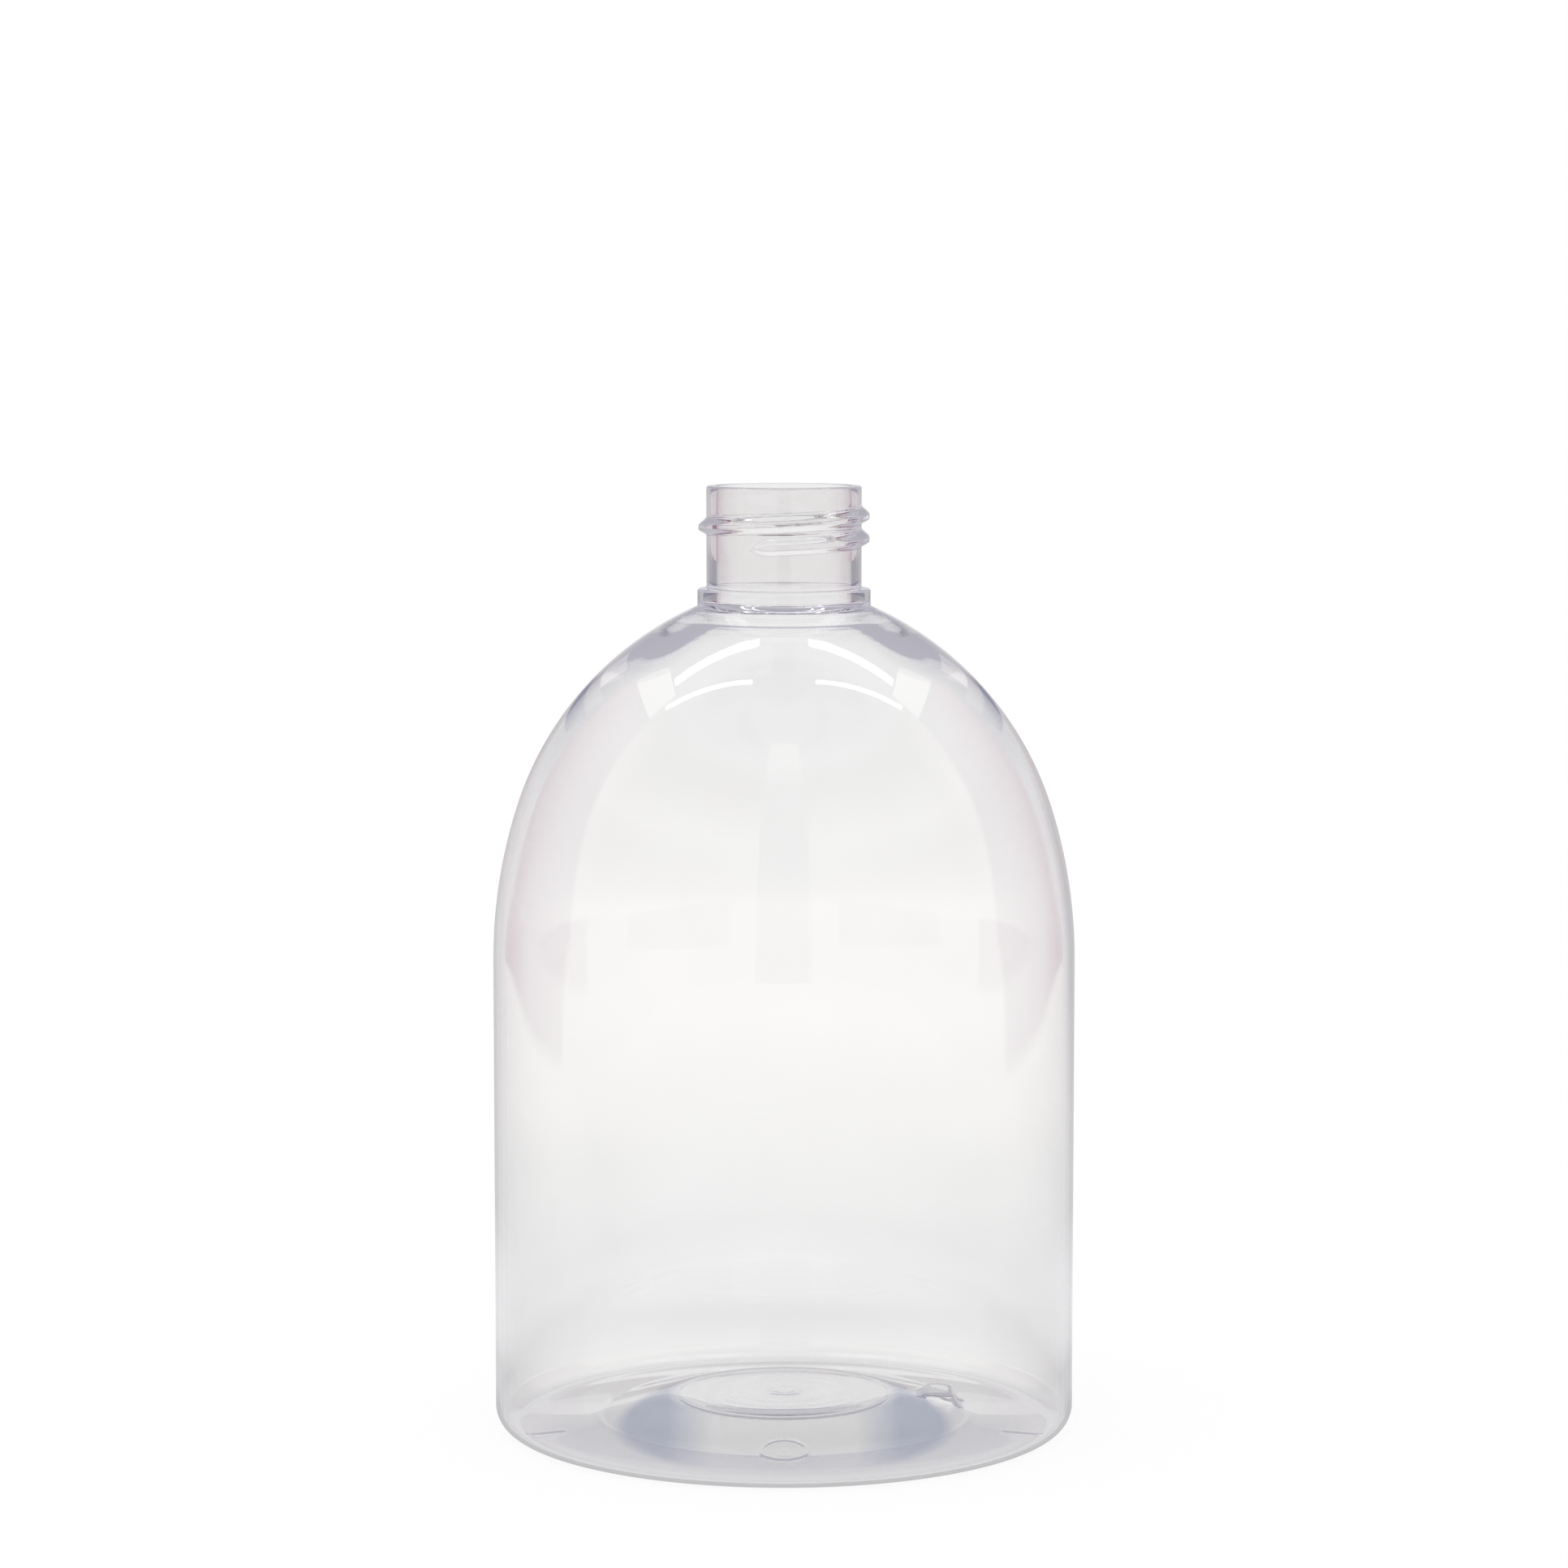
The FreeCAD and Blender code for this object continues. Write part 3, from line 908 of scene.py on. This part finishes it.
def darker_neck_and_painted_cone_shade_group() -> bpy.types.NodeTree:
    """Build the masks of two zones by place on the bottle: a darker neck, and painted shade on the sides of the
    base's cone.

    Neck is 1 above a height. Cone is 1 outside a circle about the axis, inside a larger circle
    whose centre lies forward of it, below a height and, with a wide step, beyond a distance aside.

    Returns:
        The node group.
    """
    limits = ("Neck Height", "Cone Height", "Inner Radius", "Outer Radius", "Forward", "Aside", "Softness")
    inputs = {"Vector": "Vector"} | dict.fromkeys(limits, "Float")
    group, nodes, start, end = new_group("darker_neck_and_painted_cone_shade", inputs, {"Neck": "Float", "Cone": "Float"})
    x, y, z = nodes.split(start["Vector"])
    soft = start["Softness"]

    from_centre = nodes.length(x, nodes.maths("ADD", y, start["Forward"]))
    aside = nodes.step_past(nodes.maths("ABSOLUTE", x), start["Aside"], nodes.maths("MULTIPLY", soft, 3.0))
    nodes.join(nodes.step_past(z, start["Neck Height"], soft), end["Neck"])
    outwards = nodes.step_past(nodes.length(x, y), start["Inner Radius"], soft)
    ring = nodes.maths("MULTIPLY", outwards, nodes.step_past(start["Outer Radius"], from_centre, soft))
    low = nodes.maths("MULTIPLY", ring, nodes.step_past(start["Cone Height"], z, soft))
    nodes.join(nodes.maths("MULTIPLY", low, aside), end["Cone"])
    return group


def round_ripples_group() -> bpy.types.NodeTree:
    """Build the effect of ripples around the axis, as a stretched preform leaves them.

    The height is half of 1 plus the cosine of the radius over the spacing, within two radii and
    two heights, and 0 elsewhere.

    Returns:
        The node group.
    """
    limits = ("Spacing", "Inner Radius", "Outer Radius", "Lowest", "Highest", "Softness")
    inputs = {"Vector": "Vector"} | dict.fromkeys(limits, "Float")
    group, nodes, start, end = new_group("round_ripples", inputs, {"Height": "Float"})
    x, y, z = nodes.split(start["Vector"])
    radius = nodes.length(x, y)
    turn = nodes.maths("MULTIPLY", nodes.maths("DIVIDE", radius, start["Spacing"]), 2 * math.pi)
    wave = nodes.maths("MULTIPLY_ADD", nodes.maths("COSINE", turn), 0.5, 0.5)
    pairs = (
        (radius, start["Inner Radius"]),
        (start["Outer Radius"], radius),
        (z, start["Lowest"]),
        (start["Highest"], z),
    )
    for value, limit in pairs:
        wave = nodes.maths("MULTIPLY", wave, nodes.step_past(value, limit, start["Softness"]))
    nodes.join(wave, end["Height"])
    return group


@dataclass(frozen=True)
class ClearPlastic:
    """Clear blown plastic, faintly blue where it is thick, with a darker neck, painted shade on the sides of
    the base's cone and a painted glow.
    """

    name: str = "clear_plastic"
    refraction: float = 1.57
    transmission: float = 1.0
    # Painted glow: light that the plastic gives off once a path has been reflected more than once
    painted_glow_bounces: float = 1.5
    painted_glow: Colour = (0.138, 0.135, 0.15)
    # The neck is darker above this height
    neck_darkening: Colour = (0.905, 0.90, 0.902)
    neck_height: float = 116.5 * MM
    # Painted shade: dark blue on the base's cone, to its left and right, within these limits
    cone_painted_shade: Colour = (0.64, 0.68, 0.785)
    cone_height: float = 7.0 * MM
    cone_inner: float = 15.5 * MM
    cone_outer: float = 23.0 * MM
    cone_forward: float = 10.5 * MM
    cone_aside: float = 12.9 * MM
    zone_softness: float = 2.2 * MM
    clearest: Colour = (1.0, 1.0, 1.0)
    cloudiest: Colour = (0.99, 0.989, 0.987)
    clouded: tuple[float, float] = (0.4, 0.7)
    smoothest: float = 0.0
    roughest: float = 0.03
    roughened: tuple[float, float] = (0.45, 0.75)
    cloud_scale: float = 60.0
    skin_scale: float = 240.0
    skin_height: float = 0.0012 * MM
    root_ripple: float = 0.004 * MM
    root_spacing: float = 1.35 * MM
    root_zone: tuple[float, ...] = (12.4 * MM, 18.5 * MM, 108.0 * MM, 116.0 * MM)
    base_ripple: float = 0.005 * MM
    base_spacing: float = 2.9 * MM
    base_zone: tuple[float, ...] = (-2.0 * MM, 13.5 * MM, -4.0 * MM, 8.0 * MM)
    absorbed: Colour = (0.80, 0.82, 0.87)
    absorption: float = 40.0

    def build(
        self, surface: bpy.types.NodeTree, zones: bpy.types.NodeTree, ripples: bpy.types.NodeTree
    ) -> bpy.types.Material:
        """Build the material.

        Args:
            surface: The blown surface effect.
            zones: The masks of the darker neck and of the painted shade on the cone.
            ripples: The effect of ripples around the axis.

        Returns:
            The material.
        """
        material, nodes, output = new_material(self.name)
        place = nodes.add("TexCoord")
        blown = nodes.add("Group", node_tree=surface, Cloud_Scale=self.cloud_scale, Skin_Scale=self.skin_scale)
        nodes.join(place.outputs["Object"], blown.inputs["Vector"])
        shader = nodes.add(
            "BsdfPrincipled",
            IOR=self.refraction,
            Transmission_Weight=self.transmission,
            Emission_Strength=1.0,
        )
        base_colour_with_painted_shade = nodes.ramp(blown.outputs["Cloud"], list(zip(self.clouded, (self.clearest, self.cloudiest))))
        neck_and_cone_shade_masks = nodes.add(
            "Group",
            node_tree=zones,
            Neck_Height=self.neck_height,
            Cone_Height=self.cone_height,
            Inner_Radius=self.cone_inner,
            Outer_Radius=self.cone_outer,
            Forward=self.cone_forward,
            Aside=self.cone_aside,
            Softness=self.zone_softness,
        )
        nodes.join(place.outputs["Object"], neck_and_cone_shade_masks.inputs["Vector"])
        # The neck is darker above its height
        base_colour_with_painted_shade = nodes.mix(neck_and_cone_shade_masks.outputs["Neck"], base_colour_with_painted_shade, self.neck_darkening)
        # Painted shade: the base's cone turns dark blue to its left and right
        base_colour_with_painted_shade = nodes.mix(neck_and_cone_shade_masks.outputs["Cone"], base_colour_with_painted_shade, self.cone_painted_shade)
        nodes.join(base_colour_with_painted_shade, shader.inputs["Base Color"])
        # Painted glow: the plastic gives off light where the path has been reflected more than once
        path = nodes.add("LightPath")
        deep = nodes.maths("GREATER_THAN", path.outputs["Glossy Depth"], self.painted_glow_bounces)
        nodes.join(nodes.mix(deep, BLACK, self.painted_glow), shader.inputs["Emission Color"])
        low, high = self.roughened
        rough = nodes.add("MapRange", From_Min=low, From_Max=high, To_Min=self.smoothest, To_Max=self.roughest)
        nodes.join(blown.outputs["Cloud"], rough.inputs["Value"])
        nodes.join(rough.outputs["Result"], shader.inputs["Roughness"])
        height = nodes.maths("MULTIPLY", blown.outputs["Height"], self.skin_height)
        ripple_zones = (
            (self.root_zone, self.root_spacing, self.root_ripple),
            (self.base_zone, self.base_spacing, self.base_ripple),
        )
        for (inner, outer, lowest, highest), spacing, depth in ripple_zones:
            waves = nodes.add(
                "Group",
                node_tree=ripples,
                Spacing=spacing,
                Inner_Radius=inner,
                Outer_Radius=outer,
                Lowest=lowest,
                Highest=highest,
                Softness=self.zone_softness,
            )
            nodes.join(place.outputs["Object"], waves.inputs["Vector"])
            height = nodes.maths("MULTIPLY_ADD", waves.outputs["Height"], depth, height)
        bump = nodes.add("Bump", Strength=1.0, Distance=1.0)
        nodes.join(height, bump.inputs["Height"])
        nodes.join(bump.outputs["Normal"], shader.inputs["Normal"])
        nodes.join(shader.outputs["BSDF"], output.inputs["Surface"])
        inside = nodes.add("VolumeAbsorption", Color=(*self.absorbed, 1.0), Density=self.absorption)
        nodes.join(inside.outputs["Volume"], output.inputs["Volume"])
        return material


@dataclass(frozen=True)
class Card:
    """A flat light or screen of the studio, seen only in reflections."""

    name: str
    corners: tuple[tuple[float, float, float], ...]
    colour: Colour


@dataclass
class Studio:
    """White surroundings that the camera sees, and the softly lit room that the bottle mirrors."""

    ceiling: float = 0.6
    # Floor
    floor_radius: float = 3.0
    floor_gap: float = 0.05 * MM
    matt: Colour = (0.95, 0.95, 0.95)
    shadow_share: float = 0.07
    shadow_start: float = 0.2
    shadow_end: float = 0.8
    # What the floor looks like through the bottle, this far in front of it and behind it
    shade_reach: float = 0.2
    front_shade: Colour = (0.88, 0.875, 0.88)
    rear_shade: Colour = (0.935, 0.93, 0.935)
    # What the bottle mirrors: a room, and a table that the rear half of it has other colours on
    table_radius: float = 0.42
    table_half_width: float = 0.37
    table_softness: float = 29.6 * MM
    rear_start: float = 0.5
    rear_softness: float = 0.8
    front: Colour = (0.74, 0.68, 0.60)
    front_middle: Colour = (0.88, 0.82, 0.74)
    front_raised: Colour = (0.30, 0.24, 0.18)
    flank: Colour = (0.33, 0.17, 0.235)
    back: Colour = (0.56, 0.53, 0.53)
    back_middle: Colour = (0.56, 0.55, 0.56)
    back_raised: Colour = (0.28, 0.28, 0.33)
    overhead: Colour = (0.05, 0.045, 0.045)
    under_bottle: Colour = (0.52, 0.52, 0.52)
    table_near: Colour = (0.05, 0.05, 0.05)
    table_far: Colour = (0.84, 0.78, 0.70)
    rear_under: Colour = (0.30, 0.30, 0.31)
    rear_near: Colour = (0.95, 0.94, 0.94)
    rear_middle: Colour = (0.60, 0.59, 0.59)
    table_behind: Colour = (0.56, 0.55, 0.55)
    # Where the room's flanks start, farther back higher up, and where its back starts
    flank_start: float = 0.045
    flank_lean: float = 0.17
    flank_softness: float = 0.04
    back_start: float = 0.76
    back_softness: float = 0.028
    # Cards
    strip: Colour = (4.0, 4.0, 4.0)
    top_screen: Colour = (0.20, 0.19, 0.18)
    side_screen: Colour = (0.85, 0.82, 0.76)
    neck_screen: Colour = (0.74, 0.70, 0.72)
    root_screen: Colour = (0.38, 0.37, 0.40)
    ledge_screen: Colour = (0.20, 0.21, 0.29)
    neck_screen_aside: float = 45.0 * MM
    window: Colour = (0.50, 0.48, 0.43)
    camera_stand: Colour = (0.48, 0.42, 0.37)
    back_screen: Colour = (0.76, 0.75, 0.76)
    # Lamp
    lamp_energy: float = 3.0
    lamp_size: float = 0.9
    lamp_place: tuple[float, float, float] = (-0.2, -0.3, 1.1)
    lamp_turn: tuple[float, float, float] = (math.radians(-15.0), math.radians(-10.0), 0.0)

    def room_group(self) -> bpy.types.NodeTree:
        """Build the colour of the room by direction.

        Front, flanks and back each have a ramp over the direction's height, and are mixed by how
        far the direction turns from the camera's side to the back.

        Returns:
            The node group.
        """
        group, nodes, start, end = new_group("room_by_direction", {"Direction": "Vector"}, {"Colour": "Color"})
        unit = nodes.add("VectorMath", operation="NORMALIZE")
        nodes.join(start["Direction"], unit.inputs[0])
        x, y, z = nodes.split(unit.outputs["Vector"])
        raised = nodes.maths("MAXIMUM", z, 0.0)

        front = [
            (0.30, self.front),
            (0.46, self.front_middle),
            (0.77, self.front_raised),
            (0.88, self.overhead),
        ]
        flank = [(0.60, self.flank), (0.72, self.overhead)]
        back = [
            (0.0, self.back),
            (0.12, self.back_middle),
            (0.30, self.back_raised),
            (0.75, self.overhead),
        ]
        leaning = nodes.maths("MULTIPLY_ADD", raised, -self.flank_lean, y)
        backward = nodes.maths("DIVIDE", y, nodes.maths("MAXIMUM", nodes.length(x, y), NEARLY_ZERO))
        to_flank = nodes.step_past(leaning, self.flank_start, self.flank_softness)
        to_back = nodes.step_past(backward, self.back_start, self.back_softness)
        sides = nodes.mix(to_flank, nodes.ramp(raised, front), nodes.ramp(raised, flank))
        nodes.join(nodes.mix(to_back, sides, nodes.ramp(raised, back)), end["Colour"])
        return group

    def build_world(self, room: bpy.types.NodeTree) -> None:
        """Set the surroundings: white, except in the bottle's reflections, which show the room.

        Args:
            room: The room's colour by direction.
        """
        world = bpy.data.worlds.new("studio")
        bpy.context.scene.world = world
        world.use_nodes = True
        world.node_tree.nodes.clear()
        nodes = NodeTree(world.node_tree)
        place = nodes.add("TexCoord")
        colour = nodes.add("Group", node_tree=room)
        nodes.join(place.outputs["Generated"], colour.inputs["Direction"])
        seen = nodes.mix(self.in_reflection(nodes), WHITE, colour.outputs["Colour"])
        light = nodes.add("Background", Strength=1.0)
        nodes.join(seen, light.inputs["Color"])
        output = nodes.add("OutputWorld")
        nodes.join(light.outputs["Background"], output.inputs["Surface"])

    @staticmethod
    def in_reflection(nodes: NodeTree) -> bpy.types.NodeSocket:
        """Return 1 for light that is on its way through a reflection, and 0 for all other light."""
        path = nodes.add("LightPath")
        return nodes.maths("GREATER_THAN", path.outputs["Glossy Depth"], 0.5)

    def build_floor(self, room: bpy.types.NodeTree) -> bpy.types.Object:
        """Build the pale floor. In reflections it is a white table that darkens near the bottle.

        Args:
            room: The room's colour by direction, for what lies beyond the table.

        Returns:
            The floor.
        """
        material, nodes, output = new_material("pale_floor")
        position = nodes.add("TexCoord").outputs["Object"]
        x, y, _ = nodes.split(position)
        away = nodes.length(x, y)
        share = nodes.maths("DIVIDE", away, self.table_radius)
        backward = nodes.maths("DIVIDE", y, nodes.maths("MAXIMUM", away, NEARLY_ZERO))

        stops = [
            (0.11, self.under_bottle),
            (0.16, self.table_near),
            (0.37, self.table_near),
            (0.74, self.table_far),
        ]
        rear_stops = [
            (0.08, self.rear_under),
            (0.12, self.rear_near),
            (0.20, self.rear_near),
            (0.42, self.rear_middle),
            (0.90, self.table_behind),
        ]
        behind = nodes.step_past(backward, self.rear_start, self.rear_softness)
        table = nodes.mix(behind, nodes.ramp(share, stops), nodes.ramp(share, rear_stops))
        beyond = nodes.add("Group", node_tree=room)
        nodes.join(position, beyond.inputs["Direction"])
        off_table = nodes.step_past(nodes.maths("ABSOLUTE", x), self.table_half_width, self.table_softness)
        mirrored = nodes.mix(off_table, table, beyond.outputs["Colour"])

        mask = self.in_reflection(nodes)
        through = nodes.maths("GREATER_THAN", nodes.add("LightPath").outputs["Transmission Depth"], 0.5)
        shades = [
            (0.475, self.front_shade),
            (0.525, WHITE),
            (0.60, WHITE),
            (0.68, self.rear_shade),
            (0.925, WHITE),
        ]
        shade = nodes.ramp(nodes.maths("MULTIPLY_ADD", y, 0.5 / self.shade_reach, 0.5), shades)
        seen = nodes.mix(through, WHITE, shade)
        glow = nodes.add("Emission", Strength=1.0)
        nodes.join(nodes.mix(mask, seen, mirrored), glow.inputs["Color"])
        matt = nodes.add("BsdfDiffuse", Color=(*self.matt, 1.0))
        near_bottle = nodes.add(
            "MapRange",
            From_Min=self.shadow_start,
            From_Max=self.shadow_end,
            To_Min=1.0 - self.shadow_share,
            To_Max=1.0,
        )
        nodes.join(away, near_bottle.inputs["Value"])
        glowing = nodes.maths("MAXIMUM", near_bottle.outputs["Result"], mask)
        blend = nodes.add("MixShader")
        nodes.join(glowing, blend.inputs["Fac"])
        nodes.join(matt.outputs["BSDF"], blend.inputs[1])
        nodes.join(glow.outputs["Emission"], blend.inputs[2])
        nodes.join(blend.outputs["Shader"], output.inputs["Surface"])

        angle = np.linspace(0.0, 2 * math.pi, 96, endpoint=False)
        rim = np.column_stack([np.cos(angle), np.sin(angle), np.zeros_like(angle)]) * self.floor_radius
        rim[:, 2] = -self.floor_gap
        return self.flat("floor", rim.tolist(), material)

    def flat(self, name: str, corners: list[list[float]], material: bpy.types.Material) -> bpy.types.Object:
        """Make one flat face of the studio.

        Args:
            name: Name of the object.
            corners: Its corners in order.
            material: Its material.

        Returns:
            The object.
        """
        mesh = bpy.data.meshes.new(name)
        mesh.from_pydata(corners, [], [list(range(len(corners)))])
        mesh.materials.append(material)
        screen = bpy.data.objects.new(name, mesh)
        bpy.context.scene.collection.objects.link(screen)
        return screen

    def cards(self) -> list[Card]:
        """List the lights and screens: mirrored pairs overhead, beside the neck and in front, and two more.

        Returns:
            The cards.
        """
        cards = []
        overhead = {
            "back_strip": (((0.068, 0.145), (0.332, 0.145), (0.332, 0.186), (0.068, 0.186)), self.strip),
            "front_strip": (((0.094, -0.026), (0.392, 0.058), (0.392, 0.078), (0.094, -0.012)), self.strip),
            "top_screen": (((0.03, -0.01), (0.33, 0.07), (0.33, 0.14), (0.03, 0.14)), self.top_screen),
            "side_screen": (((0.34, 0.09), (0.47, 0.09), (0.47, 0.46), (0.34, 0.30)), self.side_screen),
        }
        beside_neck = {
            "neck_screen": (0.028, 0.07, 0.1195, 0.131, self.neck_screen),
            "root_screen": (0.012, 0.11, 0.113, 0.1195, self.root_screen),
            "ledge_screen": (0.012, 0.11, 0.106, 0.113, self.ledge_screen),
        }
        window = ((0.40, 0.13), (2.0, 0.10), (2.0, 0.36), (0.40, 0.33))
        for side in Side:
            sign, label = side.value, side.name.lower()
            for name, (outline, colour) in overhead.items():
                corners = tuple((sign * x, y, self.ceiling) for x, y in outline)
                cards.append(Card(f"{name}_{label}", corners, colour))
            for name, (near, far, low, high, colour) in beside_neck.items():
                outline = ((near, low), (far, low), (far, high), (near, high))
                corners = tuple((sign * self.neck_screen_aside, y, z) for y, z in outline)
                cards.append(Card(f"{name}_{label}", corners, colour))
            corners = tuple((sign * x, -1.0, z) for x, z in window)
            cards.append(Card(f"window_{label}", corners, self.window))
        stand = ((-0.17, -0.1), (0.17, -0.1), (0.17, 1.8), (-0.17, 1.8))
        cards.append(Card("camera_stand", tuple((x, -0.9, z) for x, z in stand), self.camera_stand))
        screen = ((-0.32, 0.16), (0.32, 0.16), (0.14, 0.44), (-0.14, 0.44))
        cards.append(Card("back_screen", tuple((x, 1.5, z) for x, z in screen), self.back_screen))
        return cards

    def build_card(self, card: Card) -> bpy.types.Object:
        """Build a card that only reflections show.

        Args:
            card: The card.

        Returns:
            Its object.
        """
        material, nodes, output = new_material(f"{card.name}_glow")
        glow = nodes.add("Emission", Strength=1.0)
        colour = nodes.mix(self.in_reflection(nodes), WHITE, card.colour)
        nodes.join(colour, glow.inputs["Color"])
        nodes.join(glow.outputs["Emission"], output.inputs["Surface"])
        screen = self.flat(card.name, [list(corner) for corner in card.corners], material)
        screen.visible_camera = False
        screen.visible_diffuse = False
        screen.visible_shadow = False
        return screen

    def build_lamp(self) -> bpy.types.Object:
        """Build the soft lamp overhead, which gives the floor its faint shadow.

        Returns:
            The lamp.
        """
        light = bpy.data.lights.new("overhead_softbox", "AREA")
        light.shape = "DISK"
        light.size = self.lamp_size
        light.energy = self.lamp_energy
        lamp = bpy.data.objects.new("overhead_softbox", light)
        lamp.location = self.lamp_place
        lamp.rotation_euler = self.lamp_turn
        lamp.visible_glossy = False
        lamp.visible_transmission = False
        bpy.context.scene.collection.objects.link(lamp)
        return lamp

    def build(self) -> None:
        """Build surroundings, floor, cards and lamp."""
        room = self.room_group()
        self.build_world(room)
        self.build_floor(room)
        cards = self.cards()
        for card in cards:
            self.build_card(card)
        self.build_lamp()
        log.info("studio: %d cards", len(cards))


@dataclass(frozen=True)
class PhotoCamera:
    """The photographer's camera."""

    distance: float = 0.65
    height: float = 0.1553
    pitch: float = math.radians(5.678)
    focal_pixels: float = 5763.0

    def build(self) -> bpy.types.Object:
        """Place the camera in front of the bottle, tipped down.

        Returns:
            The camera.
        """
        lens = bpy.data.cameras.new("photo_camera")
        lens.sensor_width = SENSOR_WIDTH
        lens.lens = self.focal_pixels / IMAGE_WIDTH * SENSOR_WIDTH
        lens.clip_start = 0.01
        camera = bpy.data.objects.new("photo_camera", lens)
        camera.location = (0.0, -self.distance, self.height)
        camera.rotation_euler = (math.pi / 2 - self.pitch, 0.0, 0.0)
        bpy.context.scene.collection.objects.link(camera)
        bpy.context.scene.camera = camera
        return camera


def main() -> None:
    """Build the bottle, its studio and its camera."""
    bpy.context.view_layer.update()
    bpy.context.scene.view_settings.view_transform = "Standard"

    shell = BottleShell(BottleSizes.of_node("bottle"))
    bottle = shell.build("bottle_shell")
    plastic = ClearPlastic().build(blown_surface_group(), darker_neck_and_painted_cone_shade_group(), round_ripples_group())
    bottle.data.materials.append(plastic)
    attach(bottle, "root")
    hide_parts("bottle")

    Studio().build()
    PhotoCamera().build()


if __name__ == "__main__":
    main()
